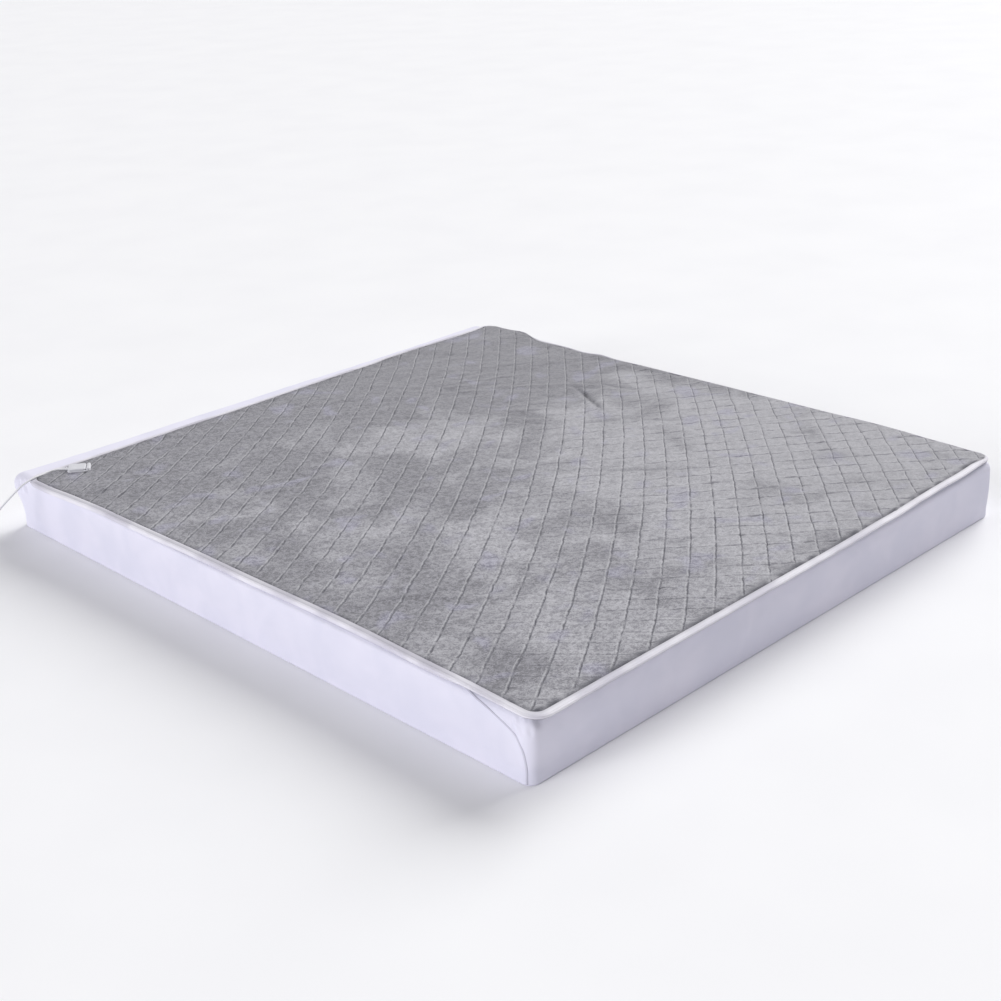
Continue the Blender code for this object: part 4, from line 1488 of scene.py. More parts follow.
FOLDS = [
    # The full, rounded edge of the left shoulder, with lengthwise folds.
    Fold((-0.897, 0.955, 0.153), (-0.897, -0.84, 0.153), 5.0, 7.5),
    Fold((-0.893, 0.93, 0.152), (-0.893, 0.42, 0.155), 1.6, 5.0),
    Fold((-0.897, 0.80, 0.146), (-0.897, 0.25, 0.148), -0.9, 5.0),
    Fold((-0.893, 0.36, 0.154), (-0.893, -0.12, 0.151), 1.4, 5.5),
    Fold((-0.892, -0.02, 0.155), (-0.893, -0.52, 0.153), 1.5, 5.0),
    Fold((-0.897, -0.20, 0.147), (-0.897, -0.62, 0.146), -0.8, 5.0),
    Fold((-0.893, -0.45, 0.154), (-0.895, -0.86, 0.147), 1.5, 6.0),
    # Puckers at the near corner, below the seam's bend.
    Fold((-0.899, -0.940, 0.144), (-0.900, -0.952, 0.116), -4.6, 3.4),
    Fold((-0.897, -0.950, 0.148), (-0.898, -0.961, 0.120), 4.2, 3.4),
    Fold((-0.895, -0.958, 0.150), (-0.896, -0.968, 0.122), -5.0, 3.4),
    Fold((-0.892, -0.966, 0.152), (-0.893, -0.974, 0.126), 4.4, 3.6),
    Fold((-0.888, -0.973, 0.152), (-0.889, -0.980, 0.120), -4.2, 3.6),
    Fold((-0.880, -0.984, 0.152), (-0.884, -0.984, 0.110), 1.2, 4.5),
    # Puckers at the head's left corner.
    Fold((-0.900, 0.958, 0.148), (-0.901, 0.946, 0.114), -4.2, 3.8),
    Fold((-0.900, 0.969, 0.150), (-0.901, 0.957, 0.114), 2.6, 3.5),
    Fold((-0.900, 0.979, 0.150), (-0.901, 0.968, 0.116), -4.2, 3.8),
    Fold((-0.896, 0.992, 0.150), (-0.898, 0.984, 0.110), 2.6, 4.0),
    # Puckers at the two right corners.
    Fold((0.899, -0.956, 0.145), (0.900, -0.946, 0.112), -1.4, 3.5),
    Fold((0.896, -0.966, 0.148), (0.898, -0.958, 0.112), 1.5, 3.5),
    Fold((0.885, -0.982, 0.150), (0.889, -0.978, 0.108), -1.2, 4.0),
    Fold((0.899, 0.980, 0.146), (0.900, 0.970, 0.112), -1.5, 3.5),
    Fold((0.895, 0.992, 0.148), (0.897, 0.984, 0.112), 1.5, 3.5),
    Fold((0.882, 1.008, 0.150), (0.886, 1.004, 0.108), -1.2, 4.0),
    # Slack folds on the head and right sides, which face away.
    Fold((-0.60, 1.012, 0.140), (-0.20, 1.013, 0.128), 1.4, 9.0),
    Fold((-0.05, 1.013, 0.132), (0.48, 1.012, 0.142), 1.3, 8.0),
    Fold((0.30, 1.013, 0.060), (0.72, 1.013, 0.090), 1.2, 12.0),
    Fold((0.900, -0.55, 0.140), (0.900, -0.10, 0.132), 1.3, 8.0),
    Fold((0.900, 0.05, 0.133), (0.900, 0.62, 0.142), 1.4, 8.0),
    Fold((0.900, -0.20, 0.062), (0.900, 0.25, 0.048), 1.0, 12.0),
    # Long soft folds on the left and foot sides.
    Fold((-0.900, -0.55, 0.050), (-0.900, 0.05, 0.100), 0.9, 16.0),
    Fold((-0.900, 0.15, 0.040), (-0.900, 0.70, 0.095), 0.8, 16.0),
    Fold((-0.900, -0.93, 0.030), (-0.900, -0.80, 0.100), 0.8, 14.0),
    Fold((-0.60, -0.9875, 0.040), (-0.05, -0.9875, 0.100), 0.7, 18.0),
    Fold((0.15, -0.9875, 0.035), (0.75, -0.9875, 0.090), 0.7, 18.0),
]


@dataclass(frozen=True)
class Bulge:
    """A place where the sheet stands away from the mattress: where, which way, how far, how wide."""

    middle: tuple[float, float, float]
    way: tuple[float, float, float]
    height_mm: float
    half_width_mm: float


BULGES = [
    Bulge((-0.903, 1.004, 0.128), (-0.90, 0.40, 0.06), 15.0, 42.0),
    Bulge((-0.868, -0.9875, 0.147), (0.0, 1.0, 0.0), 9.0, 14.0),
    Bulge((0.902, -0.975, 0.105), (0.8, -0.5, 0.0), 3.0, 60.0),
    Bulge((0.900, 1.010, 0.120), (0.7, 0.7, 0.0), 5.0, 45.0),
]


@dataclass(frozen=True)
class MattressCover(Slab):
    """The mattress in its fitted sheet: soft shoulders, corner puckers, and a flat-felled side seam."""

    corner: float = 0.026
    foot_edge: float = 0.005
    spacing: float = 0.012
    corner_spacing: float = 0.0026
    pucker_reach: float = 0.080
    side_rows: int = 62
    top_scales: tuple[float, ...] = (0.985, 0.96, 0.92, 0.85, 0.70, 0.45, 0.20)
    seam_half_width: float = 0.0024
    seam_height: float = 0.0016

    def profile(self) -> Array:
        """The side's section from the floor up to the flat top.

        A quarter circle at the floor, an upright run, and a quarter circle over the shoulder.

        Returns:
            Inset and height, one row a point.
        """
        low = np.linspace(0, math.pi / 2, 5)
        foot = np.column_stack([self.foot_edge * (1 - np.sin(low)), self.foot_edge * (1 - np.cos(low))])
        base = self.height - self.shoulder
        upright = np.linspace(self.foot_edge, base, self.side_rows)[1:-1]
        side = np.column_stack([0 * upright, upright])
        high = np.linspace(0, math.pi / 2, 14)
        over = np.column_stack([self.shoulder * (1 - np.cos(high)), base + self.shoulder * np.sin(high)])
        return np.vstack([foot, side, over])

    def denser(self, rim: Array, ways: Array) -> tuple[Array, Array]:
        """Cut the rim's long steps beside the corners into five, so that they carry the puckers.

        Args:
            rim: Places along the rim.
            ways: Its outward directions.

        Returns:
            Both, with the new places between.
        """
        near = (np.abs(rim[:-1]) > np.array([self.width, self.length]) / 2 - self.pucker_reach).all(axis=1)
        long = np.linalg.norm(np.diff(rim, axis=0), axis=1) > 2 * self.corner_spacing
        parts = np.where(near & long, 5, 1)
        first = np.repeat(np.cumsum(parts) - parts, parts)
        share = (np.arange(parts.sum()) - first) / np.repeat(parts, parts)
        place = np.append(np.repeat(np.arange(len(parts)), parts) + share, len(parts))
        whole = np.arange(len(rim))
        table = read_off(place, whole, np.hstack([rim, ways]))
        return table[:, :2], unit(table[:, 2:])

    def relief(self, points: Array) -> Array:
        """How far the sheet stands out from the plain slab.

        Args:
            points: Points of the slab.

        Returns:
            The folds' bells, the highest ridge plus the deepest trough, and a low unevenness.
        """
        ridge = np.zeros(points.shape[:-1])
        trough = np.zeros(points.shape[:-1])
        for row in FOLDS:
            start = np.array(row.start)
            run = np.array(row.end) - start
            share = np.clip((points - start) @ run / (run @ run), 0, 1)
            away = np.linalg.norm(points - start - share[..., None] * run, axis=-1)
            ends = np.sin(math.pi * np.clip(share, 0.04, 0.96)) ** 0.5
            rise = row.height_mm * MM * bell(away, row.half_width_mm * MM) * ends
            ridge = np.maximum(ridge, rise)
            trough = np.minimum(trough, rise)
        along = points[..., 0] + points[..., 1]
        uneven = 0.9 * MM * waves(along, points[..., 2] * 2.0, 0.34, 51)
        uneven += 0.25 * MM * waves(along, points[..., 2] * 2.0, 0.08, 52)
        standing = np.clip(points[..., 2] / 0.03, 0, 1)
        return ridge + trough + uneven * standing

    def settled(self, points: Array, outward: Array) -> Array:
        """Move points of the slab to the sheet's surface.

        Args:
            points: Points of the slab.
            outward: Their outward directions.

        Returns:
            The points moved out by the relief and by the bulges.
        """
        moved = points + outward * self.relief(points)[..., None]
        for row in BULGES:
            away = np.linalg.norm(points - np.array(row.middle), axis=-1)
            push = row.height_mm * MM * bell(away, row.half_width_mm * MM)
            moved = moved + push[..., None] * unit(np.array(row.way))
        return moved

    def side_surface(self, rim: Array, ways: Array, profile: Array) -> tuple[Array, Array]:
        """The slab's side at every point of the rim and the profile, and its outward directions."""
        slope = np.gradient(profile, axis=0)
        tilt = unit(np.stack([slope[:, 1], slope[:, 0]], axis=-1))
        plan = rim[None] - ways[None] * profile[:, :1, None]
        level = tilt[:, None, :1] * ways[None]
        points = joined(plan[..., 0], plan[..., 1], profile[:, 1:])
        return points, joined(level[..., 0], level[..., 1], tilt[:, 1:])

    def build(self) -> Object:
        """Make the sheeted mattress.

        Returns:
            The piece, which stands for the model's mattress.
        """
        half = np.array([self.width, self.length]) / 2
        rim, ways = rounded_outline(*half, self.corner, (self.spacing, self.corner_spacing))
        rim, ways = self.denser(np.vstack([rim, rim[:1]]), np.vstack([ways, ways[:1]]))
        rim = rim + [0.0, self.middle_y]
        points, outward = self.side_surface(rim, ways, self.profile())
        points = self.settled(points, outward)
        points[..., 2] = np.maximum(points[..., 2], 0.0)
        points[0, :, 2] = 0.0
        middle = np.array([0.0, self.middle_y, self.height])
        inner = [points[-1]]
        for scale in self.top_scales:
            ring = middle + (points[-1] - middle) * scale
            ring[:, 2] = self.height - 0.2 * MM * (1 - scale)
            inner.append(ring)
        shell = Shell()
        shell.add_grid(points)
        shell.add_grid(np.stack(inner))
        shell.add_pole(inner[-1][:-1])
        shell.add_pole(points[0, :-1], np.array([0.0, self.middle_y, 0.0]))
        piece = shell.build("sheeted_mattress", SHEET)
        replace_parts(piece, "mattress")
        return piece

    def seam(self) -> Object:
        """Make the seam: a low flat welt that runs along the left shoulder and down the near corner.

        Its line is given in the plane of the left side and carried onto the sheet's surface.

        Returns:
            The piece.
        """
        # Place along the left side and height of the seam.
        rows = [
            (0.930, 0.1575),
            (0.500, 0.1580),
            (0.000, 0.1570),
            (-0.400, 0.1580),
            (-0.700, 0.1600),
            (-0.790, 0.1585),
            (-0.834, 0.1510),
            (-0.877, 0.1410),
            (-0.905, 0.1314),
            (-0.9385, 0.1190),
            (-0.955, 0.1060),
            (-0.9645, 0.0910),
            (-0.9700, 0.0700),
            (-0.9725, 0.0420),
            (-0.9730, 0.0050),
        ]
        line = smooth_line(np.array(rows), 0.0035)
        profile = self.profile()
        inset = np.interp(line[:, 1], profile[:, 1], profile[:, 0])
        x = -self.width / 2 + inset
        past = np.maximum(self.middle_y - self.length / 2 + self.corner - line[:, 0], 0)
        x = x + self.corner - np.sqrt(np.maximum(self.corner**2 - past**2, 0))
        centre = joined(x, line[:, 0], line[:, 1])
        turn = np.arcsin(np.clip(past / self.corner, 0, 0.95))
        lean = np.clip((line[:, 1] - (self.height - self.shoulder)) / self.shoulder, 0, 0.98)
        flat = np.sqrt(1 - lean**2)
        outward = np.stack([-np.cos(turn) * flat, -np.sin(turn) * flat, lean], axis=-1)
        centre = self.settled(centre, outward)
        along = unit(np.gradient(centre, axis=0))
        across = unit(np.cross(along, outward))
        ring = circle(12)
        wide = np.sign(ring[:, :1]) * np.abs(ring[:, :1]) ** 0.6 * self.seam_half_width
        high = np.sign(ring[:, 1:]) * np.abs(ring[:, 1:]) ** 0.7 * self.seam_height
        rings = centre[:, None] + wide * across[:, None] + high * outward[:, None]
        shell = Shell()
        shell.add_tube(rings)
        return shell.build("sheet_seam", SEAM)


# --- Connector and lead ---


def sleeve(name: str, path: Array, radius: Array) -> Object:
    """Make a round vinyl sleeve along a path, with its own radius at each of the path's points."""
    shell = Shell()
    shell.add_tube(carried(path, circle(18)[None] * radius[:, None, None]))
    return shell.build(name, VINYL)


@dataclass
class Connector:
    """Flat two-part connector: a shell fixed to the blanket, and the lead's plug pushed against it."""

    middle: tuple[float, float] = CONNECTOR_MIDDLE
    turn: float = math.radians(-36)
    length: float = 0.062
    width: float = 0.048
    floor: float = 0.1706
    base_height: float = 0.004
    gap: float = 0.0003
    top_height: float = 0.005
    slit_from_end: float = 0.0115
    slit: float = 0.0016
    rib_count: int = 5
    first_rib: float = 0.010
    rib_pitch: float = 0.0032

    def placed(self, points: Array) -> Array:
        """Points of the connector's own frame, with +X towards its far end, set on the blanket."""
        cos, sin = math.cos(self.turn), math.sin(self.turn)
        x = self.middle[0] + points[..., 0] * cos - points[..., 1] * sin
        y = self.middle[1] + points[..., 0] * sin + points[..., 1] * cos
        return joined(x, y, self.floor + points[..., 2])

    def block(self, shell: Shell, ends: tuple[float, float], inset: float, rows: list, corner: float) -> None:
        """Add a closed block with rounded corners, built up from outlines.

        Args:
            shell: Where the block goes.
            ends: Its lowest and highest place along the connector.
            inset: How far its long sides stand back from the connector's.
            rows: Height and further inset of each outline, from the bottom up.
            corner: Radius of its corners.
        """
        half_x = (ends[1] - ends[0]) / 2
        outline, ways = rounded_outline(half_x, self.width / 2 - inset, corner, (0.004, 0.001))
        outline = outline + [(ends[0] + ends[1]) / 2, 0.0]
        rings = [joined(*(outline - ways * further).T, height) for height, further in rows]
        shell.add_tube(self.placed(np.stack(rings)))

    def build(self) -> list[Object]:
        """Make both shells, a dark block low in the slit between the two parts as painted shade for the
        slit's shadow, and the thumb ribs.

        Returns:
            The pieces.
        """
        half = self.length / 2
        low = [(0.0, 0.0012), (0.0003, 0.0005), (0.0010, 0.0)]
        low += [(0.0030, 0.0), (0.0037, 0.0003), (self.base_height, 0.0010)]
        base = Shell()
        self.block(base, (-half, half), 0.0, low, 0.009)
        base_piece = base.build("connector_lower_shell", WHITE_PLASTIC, 40)
        start = self.base_height + self.gap
        high = [
            (start, 0.0006),
            (start + 0.0004, 0.0),
            (start + 0.0030, 0.0001),
            (start + 0.0040, 0.0007),
            (start + 0.0046, 0.0017),
            (start + self.top_height, 0.0034),
        ]
        split = half - self.slit_from_end
        top = Shell()
        self.block(top, (-half + 0.001, split - self.slit / 2), 0.001, high, 0.008)
        self.block(top, (split + self.slit / 2, half - 0.001), 0.001, high, 0.0045)
        top_piece = top.build("connector_upper_shell", GREY_PLASTIC, 40)
        # Painted shade: a dark block low in the slit stands in for the shadow between the two parts.
        dark = Shell()
        step = [(start + 0.0002, 0.0), (start + 0.0008, 0.0)]
        self.block(dark, (split - 0.003, split + 0.003), 0.004, step, 0.001)
        dark_piece = dark.build("connector_slit_shade", SLIT_SHADE, 40)
        ribs = self.ribs(start + self.top_height)
        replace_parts(base_piece, "connector_base")
        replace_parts(top_piece, "connector_housing")
        return [base_piece, top_piece, dark_piece, ribs]

    def ribs(self, height: float) -> Object:
        """Make the low thumb ribs across the lead's end of the upper shell.

        Args:
            height: Height of the upper shell's top.

        Returns:
            The piece.
        """
        shell = Shell()
        ring = circle(10) * [0.0007, 0.0005]
        for number in range(self.rib_count):
            x = -self.length / 2 + self.first_rib + self.rib_pitch * number
            reach = self.width / 2 - 0.011
            y = np.linspace(-reach, reach, 16)
            size = np.sqrt(np.clip(1 - (y / (reach * 1.02)) ** 8, 0.02, 1))[:, None]
            rings = joined(x + ring[:, 0] * size, y[:, None], height - 0.0001 + ring[:, 1] * size)
            shell.add_tube(self.placed(rings))
        return shell.build("connector_ribs", GREY_PLASTIC)

    def exit(self) -> tuple[Array, Array]:
        """Where the lead leaves, and its direction there."""
        way = np.array([-math.cos(self.turn), -math.sin(self.turn), 0.0])
        middle = np.array([*self.middle, self.floor + self.base_height + self.gap])
        return middle + way * self.length / 2, way


LEAD_ROUTE = [
    (-0.8310, 0.9050, 0.1748),
    (-0.8670, 0.9065, 0.1738),
    (-0.8990, 0.9000, 0.1748),
    (-0.9220, 0.8965, 0.1722),
    (-0.9430, 0.8985, 0.1635),
    (-0.9640, 0.9015, 0.1500),
    (-1.0030, 0.9090, 0.1200),
    (-1.0450, 0.9170, 0.0850),
    (-1.0900, 0.9240, 0.0490),
    (-1.1300, 0.9295, 0.0230),
    (-1.1700, 0.9340, 0.0113),
    (-1.2050, 0.9375, 0.0090),
]
TAIL_ROUTE = [
    (-1.2070, 1.0270, 0.0044),
    (-1.1950, 1.0276, 0.0047),
    (-1.1790, 1.0276, 0.0066),
    (-1.1596, 1.0275, 0.0085),
]


@dataclass
class Lead:
    """The mains lead: strain relief, the free run, the wound spare length, its tie and the tail."""

    connector: Connector
    diameter: float = 0.0055
    length: float = 1.766
    relief_length: float = 0.036
    relief_radii: tuple[float, float] = (0.0044, 0.0032)
    waist_depth: float = 0.00065
    coil_middle: tuple[float, float] = (-1.200, 0.982)
    upper_radius: float = 0.03565
    lower_radius: float = 0.0219
    upper_height: float = 0.0091
    lower_height: float = 0.00395
    upper_turns: int = 3
    lower_turns: int = 3
    points_per_turn: int = 40
    tie_turn: float = math.radians(-20)
    tie_from_middle: float = 0.03015
    tie_floor: float = 0.0012
    tie_width: float = 0.009
    tie_thick: float = 0.0008

    def free_run(self) -> Array:
        """The spline from the connector, over the rim and down to the coil."""
        start, way = self.connector.exit()
        return smooth_line(np.array([start, start + way * 0.012, *LEAD_ROUTE]), 0.004)

    def turns(self) -> Array:
        """The wound turns, clockwise from above.

        The radius eases inwards by a diameter in the second half of each upper turn and outwards
        in the first half of each lower one; in between the cord sinks to the lower layer.

        Returns:
            Points from the free run's end to the tail's start.
        """
        start = np.array(LEAD_ROUTE[-1]) - [*self.coil_middle, 0.0]
        end = np.array(TAIL_ROUTE[0]) - [*self.coil_middle, 0.0]
        first = math.atan2(start[1], start[0])
        last_share = ((first - math.atan2(end[1], end[0])) / math.tau) % 1.0
        whole = self.upper_turns + self.lower_turns
        turn = np.linspace(0, whole + last_share, round((whole + last_share) * self.points_per_turn))
        upper = np.clip(turn, 0, self.upper_turns)
        step = ease((upper % 1.0 - 0.55) / 0.45)
        narrow = ease((turn - self.upper_turns + 0.80) / 0.50)
        down = ease((turn - self.upper_turns + 0.60) / 0.60)
        inward = np.minimum(np.floor(upper), self.upper_turns - 1)
        inward = inward + np.where(upper < self.upper_turns - 0.5, step, 0)
        upper_radius = self.upper_radius - self.diameter * inward
        lower = np.clip(turn - self.upper_turns, 0, None)
        outward = np.floor(lower) + ease((lower % 1.0 - 0.10) / 0.45)
        lower_radius = self.lower_radius + self.diameter * outward
        radius = upper_radius * (1 - narrow) + lower_radius * narrow
        entry = ease(1 - turn / 0.25)
        radius = radius + (np.hypot(start[0], start[1]) - self.upper_radius) * entry
        leave = ease(1 - (whole + last_share - turn) / 0.36)
        radius = radius * (1 - leave) + np.hypot(end[0], end[1]) * leave
        height = self.upper_height * (1 - down) + self.lower_height * down
        height = height * (1 - leave) + end[2] * leave
        height = height + (start[2] - self.upper_height) * ease(1 - turn / 0.05)
        angle = first - math.tau * turn
        x = self.coil_middle[0] + radius * np.cos(angle)
        y = self.coil_middle[1] + radius * np.sin(angle)
        return joined(x, y, height)

    def path(self) -> Array:
        """The whole lead's middle line, from the connector to the plug's relief."""
        tail = smooth_line(np.array(TAIL_ROUTE), 0.003)
        return np.concatenate([self.free_run(), self.turns()[1:-1], tail])

    def build(self) -> list[Object]:
        """Make the lead with its relief and tie.

        Returns:
            The lead itself first, then the relief and the tie.
        """
        path = self.path()
        shell = Shell()
        shell.add_tube(carried(path, circle(14) * self.diameter / 2))
        cord = shell.build("mains_lead", VINYL)
        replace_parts(cord, "cord_tube", "cord_coil", "cord_tail")
        LOG.info("lead is %.3f m long", run_length(path)[-1])
        return [cord, self.relief(), self.tie()]

    def relief(self) -> Object:
        """Make the tapered strain relief: segments parted by narrow waists, then a plain lip.

        Returns:
            The piece, which stands for the model's strain relief.
        """
        path = self.free_run()
        run = run_length(path)
        at = np.linspace(0.0003, self.relief_length, 73)
        path = read_off(at, run, path)
        share = np.linspace(0, 1, len(at))
        radius = self.relief_radii[0] + (self.relief_radii[1] - self.relief_radii[0]) * share
        ribbed = ease((share - 0.08) / 0.05) * ease((0.93 - share) / 0.05)
        radius -= self.waist_depth * ribbed * np.clip(np.sin(share * math.tau * 7.5) * 1.6, 0, 1)
        radius[0] -= 0.0004
        radius[-1] -= 0.0003
        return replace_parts(sleeve("strain_relief_sleeve", path, radius), "strain_relief")

    def tie(self) -> Object:
        """Make the strap: a flat section carried round the coil's own section, whose corners are cut.

        Returns:
            The piece, which stands for the model's tie.
        """
        loop = np.array(
            [
                (-12.3, 1.6),
                (-12.4, 4.6),
                (-9.8, 10.6),
                (-8.4, 10.95),
                (8.3, 10.95),
                (9.6, 10.6),
                (11.7, 4.7),
                (11.7, 1.2),
                (10.6, -0.55),
                (-11.0, -0.55),
            ]
        )
        loop = cut_corners(loop, 3) * MM
        section = np.array([[-1, -0.6], [-0.94, -1], [0.94, -1], [1, -0.6]])
        section = np.vstack([section, -section, section[:1]]) * np.array([self.tie_width, self.tie_thick]) / 2
        run = np.gradient(loop, axis=0)
        out = unit(np.stack([-run[:, 1], run[:, 0]], axis=-1))
        across = loop[:, :1] + out[:, :1] * section[:, 1] + self.tie_from_middle
        rise = loop[:, 1:] + out[:, 1:] * section[:, 1] + self.tie_floor
        cos, sin = math.cos(self.tie_turn), math.sin(self.tie_turn)
        x = self.coil_middle[0] + across * cos - section[:, 0] * sin
        y = self.coil_middle[1] + across * sin + section[:, 0] * cos
        rings = joined(x, y, rise)
        rings[-1] = rings[0]
        shell = Shell()
        shell.add_grid(rings)
        piece = shell.build("coil_strap", STRAP, 60)
        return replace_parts(piece, "coil_tie")


@dataclass
class MainsPlug:
    """Two-blade mains plug, lying on its side face beside the coil."""

    back_x: float = -1.137
    middle_y: float = 1.0275
    length: float = 0.034
    width: float = 0.026
    height: float = 0.017
    gap: float = 0.0003
    relief_length: float = 0.022
    relief_radius: float = 0.0032
    relief_widening: float = 0.0012
    waist_depth: float = 0.0006
    blade_length: float = 0.017
    blade_height: float = 0.0063
    blade_thickness: float = 0.0016
    blade_spacing: float = 0.0127
    hole_radius: float = 0.0016
    hole_from_tip: float = 0.0040
    tip_reach: float = 0.0038

    def body(self) -> Object:
        """Make the body: rounded outlines that swell from the relief to the grip and the face.

        Returns:
            The piece.
        """
        # Share of the length, half-width and half-height as shares, and corner sharpness.
        rows = np.array(
            [
                (0.000, 0.30, 0.50, 2.2),
                (0.012, 0.38, 0.62, 2.3),
                (0.060, 0.46, 0.74, 2.5),
                (0.160, 0.60, 0.88, 2.8),
                (0.300, 0.80, 0.97, 3.2),
                (0.420, 0.90, 1.00, 3.6),
                (0.520, 0.86, 0.97, 3.8),
                (0.620, 0.88, 0.97, 4.2),
                (0.720, 0.97, 1.00, 4.6),
                (0.860, 1.00, 1.00, 5.0),
                (0.960, 0.99, 1.00, 5.0),
                (0.990, 0.96, 0.97, 5.0),
                (1.000, 0.90, 0.90, 5.0),
            ]
        )
        at = np.unique(np.concatenate([np.linspace(0, 1, 60), rows[:, 0]]))
        half_y, half_z, power = read_off(at, rows[:, 0], rows[:, 1:]).T[..., None]
        at = at[:, None]
        grips = 0.03 * np.clip(np.sin((at - 0.40) * math.tau * 13), 0, 1) * ((at > 0.40) & (at < 0.66))
        ring = circle(48)
        bent_y, bent_z = (np.sign(side) * np.abs(side) ** (2 / power) for side in ring.T)
        y = self.middle_y + bent_y * (half_y - grips) * self.width / 2
        z = self.height / 2 + bent_z * half_z * self.height / 2
        shell = Shell()
        shell.add_tube(joined(self.back_x + at * self.length, y, z))
        piece = shell.build("mains_plug", WHITE_PLASTIC, 50)
        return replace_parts(piece, "plug_body")

    def relief(self) -> Object:
        """Make the plug's ribbed relief.

        Returns:
            The piece.
        """
        x = np.linspace(self.back_x - self.relief_length, self.back_x - self.gap, 50)
        path = joined(x, self.middle_y, self.height / 2)
        share = np.linspace(0, 1, len(x))
        radius = self.relief_radius + self.relief_widening * share
        ribbed = (share > 0.1) & (share < 0.95)
        radius -= self.waist_depth * ribbed * np.clip(np.sin(share * math.tau * 5) * 1.5, 0, 1)
        radius[0] -= 0.0003
        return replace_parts(sleeve("plug_relief_sleeve", path, radius), "plug_relief")

    def blade(self, number: int, side: float) -> Object:
        """Make a blade: a flat strip with a round end and a hole near it.

        Its rim and its hole are two closed lines of equal count, joined over both faces.

        Args:
            number: The blade's number.
            side: -1 for the lower Y, and 1 for the higher.

        Returns:
            The piece.
        """
        start = self.back_x + self.length + self.gap
        hole_x = self.blade_length - self.hole_from_tip
        way = circle(40)
        hole = way * self.hole_radius + [hole_x, 0.0]
        reach = 0.5 * self.blade_height
        tip_x = hole_x + self.tip_reach * way[:, 0]
        tip = np.stack([tip_x, reach * np.clip(way[:, 1] * 1.35, -1, 1)], axis=-1)
        stretch = (hole_x + reach * 0.2) / np.maximum(-way[:, 0], 1e-6)
        back_y = np.clip(way[:, 1] * stretch, -reach, reach)
        backwards = way[:, 0] < -0.25
        back = np.stack([np.where(backwards, 0.0, tip_x), back_y], axis=-1)
        rim = np.where(backwards[:, None], back, tip)
        half = self.blade_thickness / 2
        rows = [(hole, -half), (rim * [1, 0.97], -half), (rim, -half * 0.7), (rim, half * 0.7)]
        rows += [(rim * [1, 0.97], half), (hole, half), (hole, -half)]
        y = self.middle_y + side * self.blade_spacing / 2
        z = self.height / 2
        rings = np.stack([joined(start + flat[:, 0], y + deep, z + flat[:, 1]) for flat, deep in rows])
        shell = Shell()
        shell.add_grid(np.concatenate([rings, rings[:, :1]], axis=1))
        piece = shell.build(f"blade_{number}", BRASS, 30)
        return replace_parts(piece, f"plug_blade_{number}")

    def build(self) -> list[Object]:
        """Make the plug's pieces: body, relief and both blades."""
        return [self.body(), self.relief(), self.blade(1, -1.0), self.blade(2, 1.0)]


# --- Studio ---


class LightKind(Enum):
    """What a light is for."""

    KEY = "key"
    FILL = "fill"
    TOP = "top"


@dataclass(frozen=True)
class SoftLight:
    """A far, wide light: where it stands seen from the object, how wide it looks and how strong it is."""

    kind: LightKind
    stand: tuple[float, float, float]
    width_degrees: float
    strength: float
    colour: str = "#ffffff"

    def build(self) -> Object:
        """Make the light and turn it to the object.

        Returns:
            The light.
        """
        data = bpy.data.lights.new(f"{self.kind.value}_light", "SUN")
        data.angle = math.radians(self.width_degrees)
        data.energy = self.strength
        data.color = linear(self.colour)[:3]
        light = bpy.data.objects.new(data.name, data)
        turn = (-Vector(self.stand)).to_track_quat("-Z", "Y")
        light.matrix_world = Matrix.Translation(self.stand) @ turn.to_matrix().to_4x4()
        bpy.context.scene.collection.objects.link(light)
        return light


@dataclass(frozen=True)
class PhotoCamera:
    """The photograph's viewpoint, found from the mattress's straight edges."""

    place: tuple[float, float, float] = (-2.8123, -2.8985, 1.7879)
    yaw: float = 0.770903
    pitch: float = 0.403724
    roll: float = -0.037111
    focal_px: float = 1590.03
    image_px: float = 1001.0
    sensor_mm: float = 36.0

    def build(self) -> Object:
        """Make the camera from its three angles.

        The forward direction has the yaw from +Y towards +X and the pitch downwards; the roll
        turns the level sideways direction and the direction square to it.

        Returns:
            The camera, set as the scene's.
        """
        cos_p, sin_p = math.cos(self.pitch), math.sin(self.pitch)
        forward = Vector((cos_p * math.sin(self.yaw), cos_p * math.cos(self.yaw), -sin_p))
        level = Vector((math.cos(self.yaw), -math.sin(self.yaw), 0.0))
        upright = level.cross(forward)
        right = math.cos(self.roll) * level + math.sin(self.roll) * upright
        up = math.cos(self.roll) * upright - math.sin(self.roll) * level
        turned = Matrix((right, up, -forward)).transposed().to_4x4()
        data = bpy.data.cameras.new("photo_camera")
        data.sensor_width = self.sensor_mm
        data.lens = self.focal_px / self.image_px * self.sensor_mm
        camera = bpy.data.objects.new("photo_camera", data)
        camera.matrix_world = Matrix.Translation(self.place) @ turned
        bpy.context.scene.collection.objects.link(camera)
        bpy.context.scene.camera = camera
        return camera


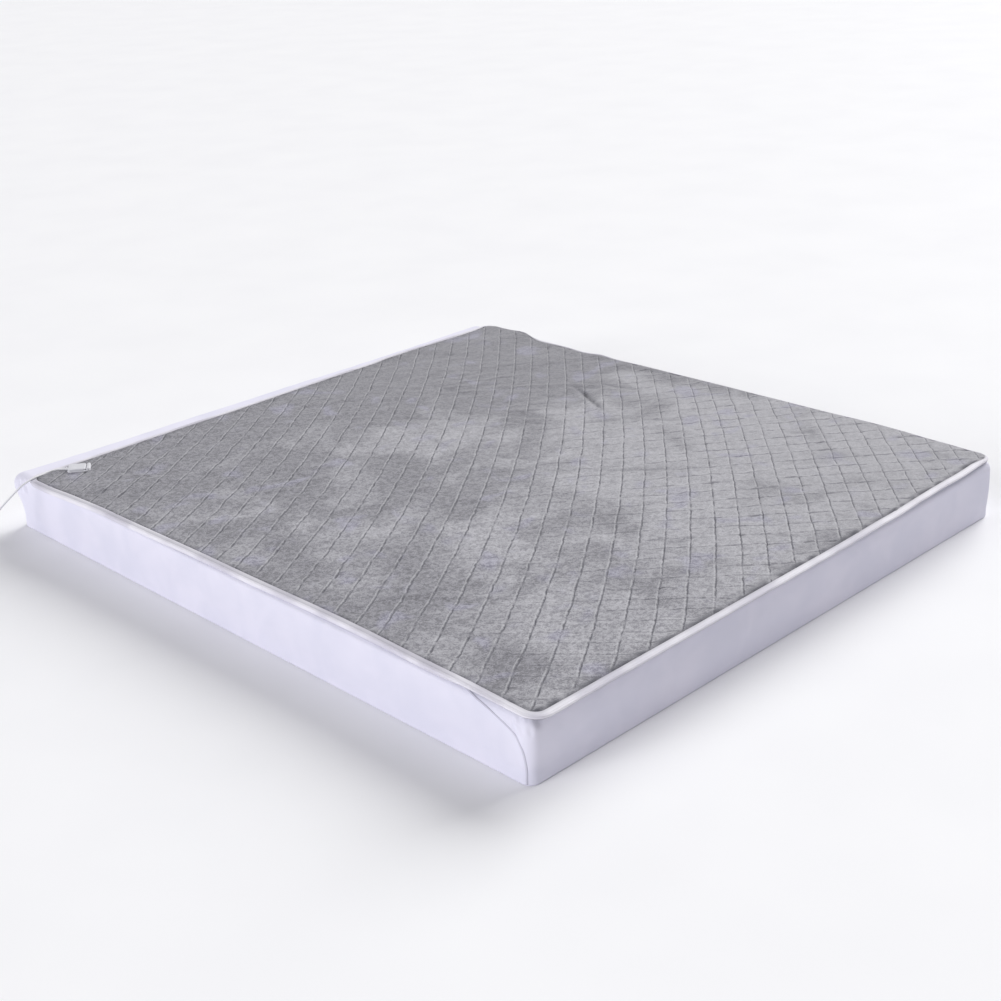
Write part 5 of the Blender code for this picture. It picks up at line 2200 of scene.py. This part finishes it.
LIGHTS = [
    SoftLight(LightKind.KEY, (-6.0, 0.8, 2.2), 34.0, 1.68, "#fbfbff"),
    SoftLight(LightKind.FILL, (1.5, -5.0, 2.6), 60.0, 0.12, "#f8f2fa"),
    SoftLight(LightKind.TOP, (3.4, 0.4, 2.2), 42.0, 2.9),
]


@dataclass
class Studio:
    """Pale floor, pale surroundings, soft lights and the camera."""

    floor_size: float = 120.0
    floor_height: float = -0.0002
    floor_cells: int = 8
    world_colour: str = "#fbfbfd"
    world_strength: float = 0.30

    def floor(self) -> Object:
        """Make the floor, which isn't part of the object.

        Returns:
            The floor.
        """
        half = self.floor_size / 2
        count = self.floor_cells + 1
        steps = np.linspace(-half, half, count)
        x, y = np.meshgrid(steps, steps, indexing="ij")
        mesh = bpy.data.meshes.new("studio_floor")
        points = joined(x, y, self.floor_height).reshape(-1, 3)
        corner = (np.arange(count - 1)[:, None] * count + np.arange(count - 1)).ravel()
        faces = np.stack([corner, corner + count, corner + count + 1, corner + 1], axis=-1)
        mesh.from_pydata(points.tolist(), [], faces.tolist())
        mesh.materials.append(FLOOR.build())
        piece = bpy.data.objects.new("studio_floor", mesh)
        bpy.context.scene.collection.objects.link(piece)
        return piece

    def build(self) -> None:
        """Make the surroundings, the floor, the lights and the camera."""
        world = bpy.data.worlds.new("pale_studio")
        world.use_nodes = True
        background = world.node_tree.nodes["Background"]
        background.inputs["Color"].default_value = linear(self.world_colour)
        background.inputs["Strength"].default_value = self.world_strength
        bpy.context.scene.world = world
        bpy.context.scene.view_settings.view_transform = "Standard"
        self.floor()
        for light in LIGHTS:
            light.build()
        PhotoCamera().build()


def main() -> None:
    logging.basicConfig(level=logging.INFO, format="%(name)s: %(message)s")
    Studio().build()
    connector = Connector()
    plug = MainsPlug().build()
    lead = Lead(connector)
    cord, relief, tie = lead.build()
    shells = connector.build()
    start, _ = connector.exit()
    tuple(start)
    lead.path().tolist()
    form = Blanket()
    cover = MattressCover()
    mattress = cover.build()
    seam = cover.seam()
    fleece = FleecePanel(form).build()
    tape, stitches = EdgeBinding(form).build()
    LOG.info("%d connector pieces, seam %s", len(shells), seam.name)


if __name__ == "__main__":
    main()
